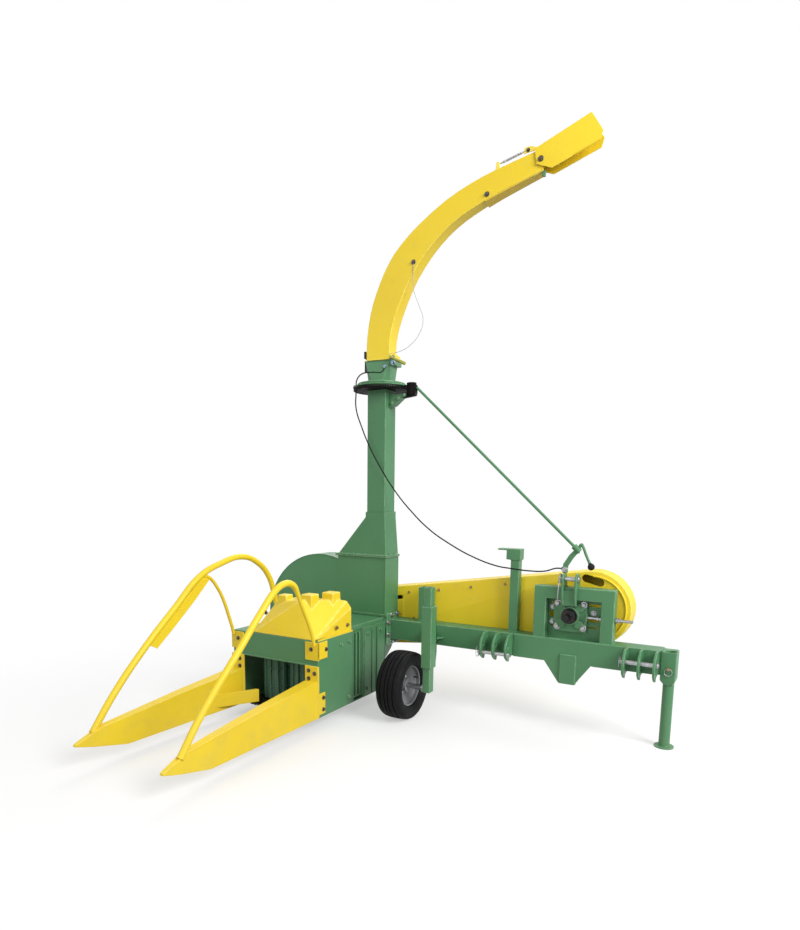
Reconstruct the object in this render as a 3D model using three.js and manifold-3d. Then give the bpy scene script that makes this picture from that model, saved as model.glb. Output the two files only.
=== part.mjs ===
// Single-row maize harvester that hangs on a tractor's three-point linkage.
// Millimetres, +Z up, +X towards the snout tips, +Y towards the parking leg.
// While it is built, x = 0 is the front face of the main beam, y = 0 the drive shaft and z = 0 the floor.
import * as THREE from 'three'
import { mergeVertices } from 'three/addons/utils/BufferGeometryUtils.js'
import { ConvexGeometry } from 'three/addons/geometries/ConvexGeometry.js'
import Module from 'manifold-3d'

const wasm = await Module()
wasm.setup()

// ---------- driving sizes ----------
const GAP = 0.3                 // gap between pieces that touch
const RUN = 6                   // running clearance between moving pieces
const PIN_RUN = 0.8             // radial clearance of shafts and pins in their bores

const BEAM = { depth: 118, height: 130, bottom: 392, wall: 8, left: 490, flange: 12 }
const HITCH = { centre: 397, pitch: 76, plate: 12, strip: 8, pinRadius: 11, lowX: 93, lowZ: 412, highX: 75, highZ: 457 }
const FRAME = { right: -200, left: 242, top: 818, member: 70, depth: 70 }
const SHAFT = { height: 655, radius: 17.5, reach: 60 }
const TOP_LINK = { inner: 30, plate: 12, pinRadius: 12.5, pinX: 5, pinZ: 866 }
const POST = { size: 52, x: -85, y: -342, top: 949, wall: 4 }
const WHEEL = { radius: 203, width: 158, rimRadius: 120, x: 310, y: -876, axleRadius: 16 }
const STRUT = { x: 310, y: -709, depth: 54, width: 46, bottom: 183, top: 800, wall: 5 }
const SLEEVE = { wall: 8, bottom: 330, top: 690 }
const LEG = { x: -27, y: BEAM.left + 42, radius: 28, play: 1, wall: 5, foot: 50, plate: 8, top: 500 }
const HEAD = { right: -1790, left: -1159, front: 768, bottom: 72, top: 512, plate: 6 }
const HOUSING = { y: -1667, z: 468, radius: 455, front: 46, back: -118, wall: 6, backWall: 10, outletTop: 930 }
const GUARD = { y: 95, z: 690, radius: 215, farRadius: 180, depth: 120, wall: 4 }
const CHUTE = { x: -17, y: -1235, depth: 126, width: 130, wall: 4, top: 1957 }
const RING = { radius: 177, top: 1985, boss: 112 }
const SWIVEL = { turn: 8, width: 122, bottom: RING.top + RUN, top: 2127 }
const SNOUT = { width: 86, tip: 1854, tipHeight: 139, kink: 1583, wall: 4 }
const TUBE = { radius: 19, rod: 11 }
const DISC = { radius: 120, x: 690, spread: 124, thick: 6 }
const DRUM = { radius: 95, root: 80, x: 600, spread: 104, top: 360, ribs: 12 }

// ---------- colours ----------
const paint = (name) => {
  const colours = {
    green: [0x4d8a62, 0.45, 0.1], yellow: [0xf0cf33, 0.4, 0.1], black: [0x17181a, 0.8, 0],
    steel: [0xb9bcbf, 0.35, 0.9], grey: [0x77797c, 0.5, 0.4], dark: [0x2b2f30, 0.6, 0.3],
  }
  const [color, roughness, metalness] = colours[name]
  return new THREE.MeshStandardMaterial({ color, roughness, metalness })
}

// ---------- shapes ----------
function solid (geometry) {
  const bare = geometry.clone()
  bare.deleteAttribute('normal')
  bare.deleteAttribute('uv')
  const merged = mergeVertices(bare, 1e-4)
  const index = merged.index ?? { array: Array.from({ length: merged.attributes.position.count }, (_, i) => i) }
  return new wasm.Manifold(new wasm.Mesh({
    numProp: 3,
    vertProperties: new Float32Array(merged.attributes.position.array),
    triVerts: new Uint32Array(index.array),
  }))
}

function geometryOf (manifold) {
  const { vertProperties, triVerts } = manifold.getMesh()
  const geometry = new THREE.BufferGeometry()
  geometry.setAttribute('position', new THREE.BufferAttribute(vertProperties, 3))
  geometry.setIndex(new THREE.BufferAttribute(triVerts, 1))
  return geometry
}

function block (x0, x1, y0, y1, z0, z1) {
  const geometry = new THREE.BoxGeometry(x1 - x0, y1 - y0, z1 - z0)
  geometry.translate((x0 + x1) / 2, (y0 + y1) / 2, (z0 + z1) / 2)
  return solid(geometry)
}

// a round bar between two points
function bar (from, to, radius, sides = 24) {
  const a = new THREE.Vector3(...from)
  const b = new THREE.Vector3(...to)
  const geometry = new THREE.CylinderGeometry(radius, radius, a.distanceTo(b), sides)
  geometry.applyQuaternion(new THREE.Quaternion().setFromUnitVectors(
    new THREE.Vector3(0, 1, 0), b.clone().sub(a).normalize()))
  geometry.translate((a.x + b.x) / 2, (a.y + b.y) / 2, (a.z + b.z) / 2)
  return solid(geometry)
}

function outline (points) {
  return new THREE.Shape(points.map(([u, v]) => new THREE.Vector2(u, v)))
}

function prism (shape, depth, steps = 12) {
  return new THREE.ExtrudeGeometry(shape, { depth, bevelEnabled: false, curveSegments: steps })
}

// (x, y) outline raised from z0 to z1
function upright (points, z0, z1) {
  const geometry = prism(outline(points), z1 - z0)
  geometry.translate(0, 0, z0)
  return solid(geometry)
}

// (x, z) outline spread from y0 to y1
function sideways (points, y0, y1) {
  const geometry = prism(outline(points), y1 - y0)
  geometry.rotateX(Math.PI / 2)
  geometry.translate(0, y1, 0)
  return solid(geometry)
}

// (y, z) outline spread from x0 to x1
function lengthways (points, x0, x1) {
  const geometry = prism(outline(points), x1 - x0)
  geometry.rotateX(Math.PI / 2)
  geometry.rotateZ(Math.PI / 2)
  geometry.translate(x0, 0, 0)
  return solid(geometry)
}

function hull (points) {
  return solid(new ConvexGeometry(points.map((p) => new THREE.Vector3(...p))))
}

function turned (profile, sides = 48) {
  return new THREE.LatheGeometry(profile.map(([r, h]) => new THREE.Vector2(r, h)), sides)
}

function pipe (points, radius, steps, sides) {
  const path = new THREE.CatmullRomCurve3(points.map((p) => new THREE.Vector3(...p)), false, 'centripetal')
  const section = new THREE.Shape().absarc(0, 0, radius, 0, Math.PI * 2)
  return new THREE.ExtrudeGeometry(section, { steps, extrudePath: path, bevelEnabled: false, curveSegments: sides / 2 })
}

const machine = new THREE.Group()

function add (name, shape, colour, parent = machine) {
  const geometry = shape.isBufferGeometry ? shape : geometryOf(shape)
  const mesh = new THREE.Mesh(geometry, paint(colour))
  mesh.name = name
  parent.add(mesh)
  return mesh
}

// ---------- main beam ----------
const beamTop = BEAM.bottom + BEAM.height
const beamMid = BEAM.bottom + BEAM.height / 2
const beamEnd = HEAD.left + GAP
{
  const tube = block(-BEAM.depth, 0, beamEnd, BEAM.left, BEAM.bottom, beamTop)
    .subtract(block(BEAM.wall - BEAM.depth, -BEAM.wall, beamEnd - 1, BEAM.left + 1,
      BEAM.bottom + BEAM.wall, beamTop - BEAM.wall))
  const flange = block(-BEAM.depth, 38, beamEnd, beamEnd + BEAM.flange, BEAM.bottom - 40, beamTop + 40)
  add('main_beam', tube.add(flange), 'green')
}

// short upright tube on the beam, beside the wheel strut
const STUB = { x: -60, y: -928, size: 60, top: 742, wall: 5 }
add('beam_stub', block(STUB.x - STUB.size / 2, STUB.x + STUB.size / 2, STUB.y - STUB.size / 2,
  STUB.y + STUB.size / 2, beamTop + GAP, STUB.top)
  .subtract(block(STUB.x - STUB.size / 2 + STUB.wall, STUB.x + STUB.size / 2 - STUB.wall,
    STUB.y - STUB.size / 2 + STUB.wall, STUB.y + STUB.size / 2 - STUB.wall, beamTop + 20, STUB.top + 1)), 'green')

// front doubler with the pointed pocket for the drawbar under the beam
{
  const half = HITCH.centre - HITCH.pitch - HITCH.plate / 2 - 5
  const drop = 272
  const plate = lengthways([[-half, BEAM.bottom], [-125, BEAM.bottom], [-38, drop], [52, drop], [138, BEAM.bottom],
    [half, BEAM.bottom], [half, beamTop], [-half, beamTop]], GAP, GAP + 10)
  const pocket = block(-90, GAP + 5, -38, 52, drop, BEAM.bottom - GAP)
    .subtract(block(-91, GAP, -30, 44, drop + 8, BEAM.bottom))
  add('drawbar_bracket', plate.add(pocket), 'green')
}

// ---------- hitch: three ears and a cross pin on each side ----------
const earProfile = [[GAP, BEAM.bottom], [48, 384], [52, 368], [63, 366], [84, 378], [110, 398], [118, 430], [114, 462],
  [98, 492], [62, beamTop], [GAP, beamTop]]
for (const [side, sign] of [['left', 1], ['right', -1]]) {
  const middle = sign * HITCH.centre
  const reach = HITCH.pitch + HITCH.plate / 2
  let bracket = block(GAP, HITCH.strip, middle - reach, middle + reach, BEAM.bottom, beamTop)
  for (const k of [-1, 0, 1]) {
    const y = middle + k * HITCH.pitch
    bracket = bracket.add(sideways(earProfile, y - HITCH.plate / 2, y + HITCH.plate / 2))
  }
  for (const [x, z] of [[HITCH.lowX, HITCH.lowZ], [HITCH.highX, HITCH.highZ]]) {
    bracket = bracket.subtract(bar([x, middle - reach - 1, z], [x, middle + reach + 1, z], HITCH.pinRadius + GAP))
  }
  add(`hitch_bracket_${side}`, bracket, 'green')

  const [x, z] = side === 'left' ? [HITCH.highX, HITCH.highZ] : [HITCH.lowX, HITCH.lowZ]
  const pin = bar([x, middle - reach - 16, z], [x, middle + reach + 14, z], HITCH.pinRadius)
    .add(bar([x, middle + reach + GAP, z], [x, middle + reach + 8, z], HITCH.pinRadius + 6))
  add(`hitch_pin_${side}`, pin, 'steel')
}

// ---------- drive frame, bearing and shaft ----------
{
  const { right, left, top, member, depth } = FRAME
  add('bearing_frame', lengthways([[right, beamTop + GAP], [right + member, beamTop + GAP], [right + member, top - member],
    [left - member, top - member], [left - member, beamTop + GAP], [left, beamTop + GAP], [left, top], [right, top]],
  -depth, 0), 'green')
}
const plateX = -52
{
  const plate = block(plateX, plateX + 12, -95, 90, 562, FRAME.top - FRAME.member - GAP)
  const housing = bar([plateX + 6, 0, SHAFT.height], [-16, 0, SHAFT.height], 52, 32)
  const bore = bar([plateX - 1, 0, SHAFT.height], [0, 0, SHAFT.height], SHAFT.radius + PIN_RUN, 24)
  add('bearing_plate', plate.add(housing).subtract(bore), 'green')
}
add('pto_shaft', bar([RUN - BEAM.depth, 0, SHAFT.height], [SHAFT.reach, 0, SHAFT.height], SHAFT.radius)
  .add(bar([-10, 0, SHAFT.height], [22, 0, SHAFT.height], 38, 32)), 'dark')

{
  const { inner, plate, pinRadius, pinX, pinZ } = TOP_LINK
  const cheek = [[GAP, 716], [12, 716], [30, 762], [36, 868], [16, 895], [-24, 895], [-58, 858], [-58, FRAME.top + GAP],
    [GAP, FRAME.top + GAP]]
  let clevis = sideways(cheek, inner, inner + plate).add(sideways(cheek, -inner - plate, -inner))
  clevis = clevis.add(block(GAP, 10, -inner - 1, inner + 1, 716, 800))
  clevis = clevis.subtract(bar([pinX, -inner - plate - 1, pinZ], [pinX, inner + plate + 1, pinZ], pinRadius + GAP))
  add('top_link_clevis', clevis, 'green')
  add('top_link_pin', bar([pinX, -inner - plate - 16, pinZ], [pinX, inner + plate + 12, pinZ], pinRadius)
    .add(bar([pinX, inner + plate + GAP, pinZ], [pinX, inner + plate + 7, pinZ], pinRadius + 6)), 'steel')
}

// ---------- spout rest ----------
{
  const half = POST.size / 2
  const tube = block(POST.x - half, POST.x + half, POST.y - half, POST.y + half, beamTop + GAP, POST.top)
    .subtract(block(POST.x - half + POST.wall, POST.x + half - POST.wall, POST.y - half + POST.wall,
      POST.y + half - POST.wall, beamTop - 1, POST.top - 10))
  const cap = block(POST.x - half - 5, POST.x + half + 5, POST.y - 52, POST.y + 34, POST.top - 1, 1012)
    .subtract(block(POST.x - half, POST.x + half, POST.y - 53, POST.y + 28, POST.top + 6, 1004))
  const lip = block(POST.x - half - 5, POST.x + half + 5, POST.y - 106, POST.y - 40, 1002, 1012)
  add('spout_post', tube.add(cap).add(lip), 'green')
}

// ---------- crank that turns the spout ----------
const CRANK = { x: -15, eyeY: 21, eyeZ: 1032, topY: -985, topZ: 1962, rod: 8 }
const crankAxis = new THREE.Vector3(0, CRANK.topY - CRANK.eyeY, CRANK.topZ - CRANK.eyeZ).normalize()
const along = (d) => [CRANK.x, CRANK.eyeY + crankAxis.y * d, CRANK.eyeZ + crankAxis.z * d]
{
  const foot = -TOP_LINK.inner - TOP_LINK.plate / 2
  const strip = lengthways([[foot - 14, 895 + GAP], [foot + 14, 895 + GAP], [foot + 16, 936], [8, 982], [34, 1016],
    [16, 1032], [-16, 998], [foot - 12, 944]], CRANK.x - 6, CRANK.x + 6)
  const cableLug = block(-35, CRANK.x, -58, foot, 908, 928)
  add('crank_support', strip.add(bar(along(-22), along(22), 17)).add(cableLug), 'green')
}
const rodLength = Math.hypot(CRANK.topY - CRANK.eyeY, CRANK.topZ - CRANK.eyeZ)
add('crank_rod', bar(along(22 + GAP), along(rodLength), CRANK.rod, 16), 'green')
{
  const start = along(-22 - GAP)
  const hub = bar(start, along(-44), 13)
  const arm = bar(along(-33), [CRANK.x, 101, 949], CRANK.rod, 16)
  add('crank_handle', hub.add(arm).add(bar([CRANK.x - 6, 101, 949], [CRANK.x + 62, 108, 944], 14)), 'green')
}

// ---------- belt guard behind the beam: a front pan and a flat back ----------
{
  const tangentOutline = (shrink) => {
    const r1 = GUARD.radius - shrink
    const r2 = GUARD.farRadius - shrink
    const dy = GUARD.y - HOUSING.y
    const dz = GUARD.z - HOUSING.z
    const tilt = Math.atan2(dz, dy)
    const spread = Math.acos((r1 - r2) / Math.hypot(dy, dz))
    const points = []
    for (let i = 0; i <= 20; i++) {
      const a = tilt - spread + (2 * spread) * i / 20
      points.push([GUARD.y + r1 * Math.cos(a), GUARD.z + r1 * Math.sin(a)])
    }
    for (let i = 0; i <= 16; i++) {
      const a = tilt + spread + (2 * Math.PI - 2 * spread) * i / 16
      points.push([HOUSING.y + r2 * Math.cos(a), HOUSING.z + r2 * Math.sin(a)])
    }
    return points
  }
  const front = HOUSING.back - GAP
  const back = front - GUARD.depth
  const pan = lengthways(tangentOutline(0), back, front)
    .subtract(lengthways(tangentOutline(GUARD.wall), back - 1, front - GUARD.wall))
  add('belt_guard', pan, 'yellow')
  add('belt_guard_back', lengthways(tangentOutline(0), back - GAP - GUARD.wall, back - GAP), 'yellow')
}

// ---------- wheel, strut and their bracket ----------
{
  const hx = STRUT.depth / 2
  const hy = STRUT.width / 2
  const sx = hx + GAP + SLEEVE.wall
  const sy = hy + GAP + SLEEVE.wall
  const sleeve = block(STRUT.x - sx, STRUT.x + sx, STRUT.y - sy, STRUT.y + sy, SLEEVE.bottom, SLEEVE.top)
    .subtract(block(STRUT.x - hx - GAP, STRUT.x + hx + GAP, STRUT.y - hy - GAP, STRUT.y + hy + GAP,
      SLEEVE.bottom - 1, SLEEVE.top + 1))
  const arm = upright([[GAP, -900], [GAP, -832], [STRUT.x - sx + 1, STRUT.y + sy], [STRUT.x - sx + 1, STRUT.y - sy]],
    425, 485)
  add('wheel_bracket', sleeve.add(arm), 'green')
  const strut = block(STRUT.x - hx, STRUT.x + hx, STRUT.y - hy, STRUT.y + hy, STRUT.bottom, STRUT.top)
    .subtract(block(STRUT.x - hx + STRUT.wall, STRUT.x + hx - STRUT.wall, STRUT.y - hy + STRUT.wall,
      STRUT.y + hy - STRUT.wall, WHEEL.radius + 60, STRUT.top + 1))
  add('wheel_strut', strut, 'green')
  const far = WHEEL.y - 30
  add('wheel_axle', bar([STRUT.x, far, WHEEL.radius], [STRUT.x, STRUT.y - hy - GAP, WHEEL.radius], WHEEL.axleRadius)
    .add(bar([STRUT.x, STRUT.y - hy - 14, WHEEL.radius], [STRUT.x, STRUT.y - hy - GAP, WHEEL.radius], 26)), 'steel')
}
const wheelGroup = new THREE.Group()
wheelGroup.position.set(WHEEL.x, WHEEL.y, WHEEL.radius)
machine.add(wheelGroup)
{
  const half = WHEEL.width / 2
  const bead = WHEEL.rimRadius
  const R = WHEEL.radius
  add('tyre', turned([[bead, -half + 26], [bead + 16, -half + 8], [bead + 42, -half], [R - 20, -half + 4], [R - 7, -half + 17],
    [R - 1, -half + 45], [R, 0], [R - 1, half - 45], [R - 7, half - 17], [R - 20, half - 4], [bead + 42, half],
    [bead + 16, half - 8], [bead, half - 26], [bead, -half + 26]]), 'black', wheelGroup)
  const rimHalf = half - 26
  const bore = WHEEL.axleRadius + PIN_RUN
  const rim = bead - GAP
  add('rim', turned([[bore, -24], [34, -24], [34, -5], [rim - 26, -5], [rim - 18, -rimHalf], [rim, -rimHalf], [rim, rimHalf],
    [rim - 8, rimHalf], [rim - 14, 5], [34, 5], [34, 34], [bore, 34], [bore, -24]]), 'grey', wheelGroup)
}

// ---------- parking leg ----------
{
  const front = LEG.x + LEG.radius + 5
  const outer = LEG.y + LEG.radius + 6
  const block1 = lengthways([[BEAM.left + GAP, beamTop], [BEAM.left + GAP, 366], [LEG.y - 22, 346], [LEG.y + 22, 346],
    [outer, 366], [outer, beamTop]], -90, front)
  const bore = bar([LEG.x, LEG.y, 300], [LEG.x, LEG.y, beamTop + 1], LEG.radius + LEG.play, 32)
  add('leg_sleeve', block1.subtract(bore), 'green')
  const tube = bar([LEG.x, LEG.y, LEG.plate - 2], [LEG.x, LEG.y, LEG.top], LEG.radius, 32)
    .subtract(bar([LEG.x, LEG.y, 40], [LEG.x, LEG.y, LEG.top + 1], LEG.radius - LEG.wall, 24))
  add('parking_leg', tube.add(bar([LEG.x, LEG.y, 0], [LEG.x, LEG.y, LEG.plate], LEG.foot, 40)), 'green')
}

// ---------- head: floor, sides, roof and front plate ----------
const headBack = HOUSING.front + GAP
const headMiddle = (HEAD.left + HEAD.right) / 2
const t = HEAD.plate
add('head_floor', block(headBack, HEAD.front, HEAD.right, HEAD.left, HEAD.bottom, HEAD.bottom + t), 'green')
for (const [side, face, inward] of [['left', HEAD.left, -1], ['right', HEAD.right, 1]]) {
  const step = 24 * inward
  const skin = t * inward
  const points = [[headBack, face], [300, face], [310, face + step], [415, face + step], [425, face], [HEAD.front, face],
    [HEAD.front, face + skin], [425 + t, face + skin], [415 + t, face + step + skin], [310 - t, face + step + skin],
    [300 - t, face + skin], [headBack, face + skin]]
  add(`head_side_${side}`, upright(points, HEAD.bottom + t + GAP, HEAD.top), 'green')
}
{
  const y0 = HEAD.right + t + GAP
  const y1 = HEAD.left - t - GAP
  const roof = upright([[headBack, y0], [292, y0], [292, y0 + 24], [433, y0 + 24], [433, y0], [HEAD.front - t - GAP, y0],
    [HEAD.front - t - GAP, y1], [433, y1], [433, y1 - 24], [292, y1 - 24], [292, y1], [headBack, y1]],
  HEAD.top - t, HEAD.top)
  add('head_roof', roof, 'green')
  add('head_front_plate', block(HEAD.front - t, HEAD.front, y0, y1, 368, HEAD.top), 'green')
}

// feed drums: ribbed, upright, hung from bosses under the roof
for (const [side, sign] of [['left', 1], ['right', -1]]) {
  const y = headMiddle + sign * DRUM.spread
  const star = []
  for (let i = 0; i < DRUM.ribs; i++) {
    const a = 2 * Math.PI * i / DRUM.ribs
    const half = Math.PI / DRUM.ribs
    for (const [r, da] of [[DRUM.root, -0.55 * half], [DRUM.radius, -0.4 * half], [DRUM.radius, 0.4 * half],
      [DRUM.root, 0.55 * half]]) {
      star.push([DRUM.x + r * Math.cos(a + da), y + r * Math.sin(a + da)])
    }
  }
  const bottom = HEAD.bottom + t + DISC.thick + 2 * RUN
  const body = upright(star, bottom, DRUM.top)
    .subtract(bar([DRUM.x, y, bottom - 1], [DRUM.x, y, DRUM.top - 8], DRUM.root - 8))
  add(`feed_drum_${side}`, body.add(bar([DRUM.x, y, DRUM.top - 9], [DRUM.x, y, HEAD.top - t - GAP], 20)), 'green')
}

// cutting discs with a toothed edge, each on a hub on the floor
for (const [side, sign] of [['left', 1], ['right', -1]]) {
  const y = headMiddle + sign * DISC.spread
  const teeth = 24
  const edge = []
  for (let i = 0; i < teeth; i++) {
    const a = 2 * Math.PI * (i + (sign > 0 ? 0.5 : 0)) / teeth
    edge.push([DISC.x + DISC.radius * Math.cos(a), y + DISC.radius * Math.sin(a)])
    const b = a + Math.PI / teeth
    edge.push([DISC.x + (DISC.radius - 8) * Math.cos(b), y + (DISC.radius - 8) * Math.sin(b)])
  }
  const z = HEAD.bottom + t + RUN
  add(`cutting_disc_${side}`, upright(edge, z, z + DISC.thick)
    .add(bar([DISC.x, y, HEAD.bottom + t + GAP], [DISC.x, y, z + 1], 24)), 'dark')
}

// gearbox block under a hollow pressed cover
add('gearbox', block(470, 650, headMiddle - 60, headMiddle + 130, HEAD.top + GAP, HEAD.top + 100), 'dark')
{
  const shell = (inset, drop) => hull([
    [768 - inset, -1185 - inset, HEAD.top + GAP - drop], [768 - inset, -1640 + inset, HEAD.top + GAP - drop],
    [425 + inset, -1165 - inset, HEAD.top + GAP - drop], [425 + inset, -1640 + inset, HEAD.top + GAP - drop],
    [425 + inset, -1165 - inset, 655 - inset], [450 + inset, -1182 - inset, 700 - inset],
    [700 - inset, -1331 - inset, 722 - inset], [640 - inset, -1553 + inset, 690 - inset],
    [430 + inset, -1560 + inset, 690 - inset],
  ])
  let cover = shell(0, 0)
  for (const [x, y, z, half] of [[640, -1490, 735, 32], [640, -1310, 752, 38], [506, -1256, 752, 40]]) {
    cover = cover.add(block(x - half, x + half, y - half, y + half, 640, z))
  }
  add('gear_cover', cover.subtract(shell(5, 60)), 'yellow')
}

// ---------- rotor housing: a scroll with its outlet at the top ----------
const outletLeft = HEAD.left
const outletRight = -1526
const scroll = (shrink) => {
  const points = [[outletLeft - shrink, HOUSING.outletTop + (shrink ? 1 : 0)], [outletRight + shrink, HOUSING.outletTop + (shrink ? 1 : 0)]]
  const wide = outletLeft - HOUSING.y
  const from = Math.acos((outletRight + shrink - HOUSING.y) / (HOUSING.radius - shrink))
  const steps = 44
  for (let i = 0; i <= steps; i++) {
    const a = from + (2 * Math.PI - from) * i / steps
    const left = Math.max(0, (a - 1.5 * Math.PI) / (0.5 * Math.PI))
    const r = HOUSING.radius + (wide - HOUSING.radius) * left ** 1.5 - shrink
    points.push([HOUSING.y + r * Math.cos(a), HOUSING.z + r * Math.sin(a)])
  }
  return points
}
{
  const { front, back, wall, backWall, y, z } = HOUSING
  let housing = lengthways(scroll(0), back, front)
    .subtract(lengthways(scroll(wall), back + backWall, front - wall))
  const rim = block(back, front + 12, outletRight - 12, outletLeft + 12, HOUSING.outletTop - 8, HOUSING.outletTop)
    .subtract(block(back + backWall, front - wall, outletRight + wall, outletLeft - wall, HOUSING.outletTop - 9,
      HOUSING.outletTop + 1))
  housing = housing.add(rim)
  housing = housing.subtract(bar([back - 1, y, z], [back + backWall + 1, y, z], 25 + PIN_RUN))
  housing = housing.subtract(block(front - wall - 1, front + 1, -1620, -1330, 150, 400))
  add('rotor_housing', housing, 'green')
}
{
  const { front, back, wall, backWall, y, z, radius } = HOUSING
  const r = radius - wall - 24
  const x0 = back + backWall + 10
  const x1 = front - wall - 10
  let rotor = bar([x0, y, z], [x0 + 14, y, z], r, 48).add(bar([back + 5.3, y, z], [x1, y, z], 25))
  for (let i = 0; i < 6; i++) {
    const a = Math.PI * i / 3
    const blade = new THREE.BoxGeometry(x1 - x0, r * 0.5, 12)
    blade.translate((x0 + x1) / 2, r * 0.72, 0)
    blade.rotateX(a)
    blade.translate(0, y, z)
    rotor = rotor.add(solid(blade))
  }
  add('rotor', rotor, 'dark')
}
add('skid_shoe', block(HOUSING.back + 20, HOUSING.front, HOUSING.y - 90, HOUSING.y + 90, 0, 20)
  .subtract(lengthways(scroll(-GAP), HOUSING.back - 10, HOUSING.front + 10)), 'green')

// ---------- chute ----------
const chuteBox = (grow, z0, z1) => block(CHUTE.x - CHUTE.depth / 2 - grow, CHUTE.x + CHUTE.depth / 2 + grow,
  CHUTE.y - CHUTE.width / 2 - grow, CHUTE.y + CHUTE.width / 2 + grow, z0, z1)
{
  const base = HOUSING.outletTop + GAP
  const neck = 1178
  const collarTop = 1210
  const hood = (inset, z0, z1) => {
    const points = []
    for (const [x, y] of [[HOUSING.back + inset, outletRight + inset], [HOUSING.front - inset, outletRight + inset],
      [HOUSING.front - inset, outletLeft - inset], [HOUSING.back + inset, outletLeft - inset]]) {
      points.push([x, y, z0])
    }
    const g = 7 - inset
    for (const sx of [-1, 1]) {
      for (const sy of [-1, 1]) {
        points.push([CHUTE.x + sx * (CHUTE.depth / 2 + g), CHUTE.y + sy * (CHUTE.width / 2 + g), z1])
      }
    }
    return hull(points)
  }
  const lip = 8
  let shape = hood(0, base, neck).add(chuteBox(7, neck - 1, collarTop))
    .add(block(HOUSING.back, HOUSING.front + 12, outletRight - 12, outletLeft + 12, base, base + lip))
  shape = shape.subtract(hood(6, base - 1, neck + 1))
    .subtract(chuteBox(-CHUTE.wall, neck - 6, collarTop + 1))
    .subtract(chuteBox(GAP, neck + 2, collarTop + 1))
  add('chute_hood', shape, 'green')
  add('chute', chuteBox(0, neck + 2 + GAP, CHUTE.top).subtract(chuteBox(-CHUTE.wall, neck, CHUTE.top + 1)), 'green')
}
add('turntable_ring', bar([CHUTE.x, CHUTE.y, CHUTE.top + GAP], [CHUTE.x, CHUTE.y, RING.top], RING.radius, 64)
  .add(bar([CHUTE.x, CHUTE.y, RING.top - 1], [CHUTE.x, CHUTE.y, SWIVEL.bottom - GAP], RING.boss, 48))
  .subtract(chuteBox(-CHUTE.wall, CHUTE.top - 1, SWIVEL.bottom)), 'green')
{
  const side = CHUTE.y + CHUTE.width / 2 + GAP
  const x0 = CRANK.x - 20
  const x1 = CRANK.x + 20
  const bracket = lengthways([[side, 1852], [side + 40, 1862], [side + 96, 1906], [-1000, 1914], [-1000, 1930],
    [side, 1930]], x0, x1)
  const worm = bar([CRANK.x, -1022, 1920], [CRANK.x, -1022, RING.top + 8], 30, 32)
  const lug = block(x0, x1, -1030, -990, 1925, RING.top - 6)
  const rodHole = bar(along(rodLength + GAP), along(rodLength - 60), 14)
  add('worm_box', bracket.add(worm).add(lug).subtract(rodHole), 'green')
}

// ---------- everything above the ring turns; its own frame: +X outwards along the spout ----------
const swivel = new THREE.Group()
swivel.position.set(CHUTE.x, CHUTE.y, 0)
swivel.rotation.z = Math.PI / 2 + SWIVEL.turn * Math.PI / 180
machine.add(swivel)
const DUCT = { wall: 4 }
const HINGE = { s: 94, z: SWIVEL.top + 16, pin: 9, ear: 66, knuckle: 44 }
{
  const octagon = (r, z) => Array.from({ length: 8 }, (_, i) => {
    const a = Math.PI / 8 + Math.PI * i / 4
    return [r * Math.cos(a), r * Math.sin(a), z]
  })
  const box = (g, z) => [[-82 - g, -66 - g, z], [80 + g, -66 - g, z], [80 + g, 66 + g, z], [-82 - g, 66 + g, z]]
  const outer = hull([...octagon(82, SWIVEL.bottom + 10), ...box(0, SWIVEL.top)])
  const inner = hull([...octagon(76, SWIVEL.bottom - 1), ...box(-6, SWIVEL.top + 1)])
  const flange = bar([0, 0, SWIVEL.bottom], [0, 0, SWIVEL.bottom + 11], 150, 64)
  const sill = block(78, HINGE.s + 12, -HINGE.ear, HINGE.ear, SWIVEL.top - 22, SWIVEL.top)
  let ears = bar([HINGE.s, -HINGE.ear, HINGE.z], [HINGE.s, HINGE.ear, HINGE.z], 14)
    .add(block(HINGE.s - 12, HINGE.s + 12, -HINGE.ear, HINGE.ear, SWIVEL.top - 1, HINGE.z))
  ears = ears.subtract(block(60, 120, -HINGE.knuckle - 2, HINGE.knuckle + 2, SWIVEL.top, HINGE.z + 20))
  add('swivel_collar', outer.add(flange).add(sill).subtract(inner).add(ears)
    .subtract(bar([HINGE.s, -99, HINGE.z], [HINGE.s, 99, HINGE.z], HINGE.pin + GAP)), 'green', swivel)
}
add('hinge_pin', bar([HINGE.s, -96, HINGE.z], [HINGE.s, 82, HINGE.z], HINGE.pin)
  .add(bar([HINGE.s - 2, -90, HINGE.z], [HINGE.s + 92, -90, HINGE.z - 46], 7, 16)), 'yellow', swivel)

// spout: a bent duct; back and belly follow two splines in the (s, z) plane
const backLine = [[-78, 2134], [-76, 2257], [-50, 2420], [0, 2560], [62, 2680], [132, 2768], [248, 2870], [425, 2984],
  [600, 3058], [760, 3104], [932, 3146]]
const bellyLine = [[956, 3046], [800, 2996], [640, 2940], [470, 2860], [340, 2758], [230, 2626], [160, 2500], [104, 2365],
  [76, 2250], [75, 2134]]
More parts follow.
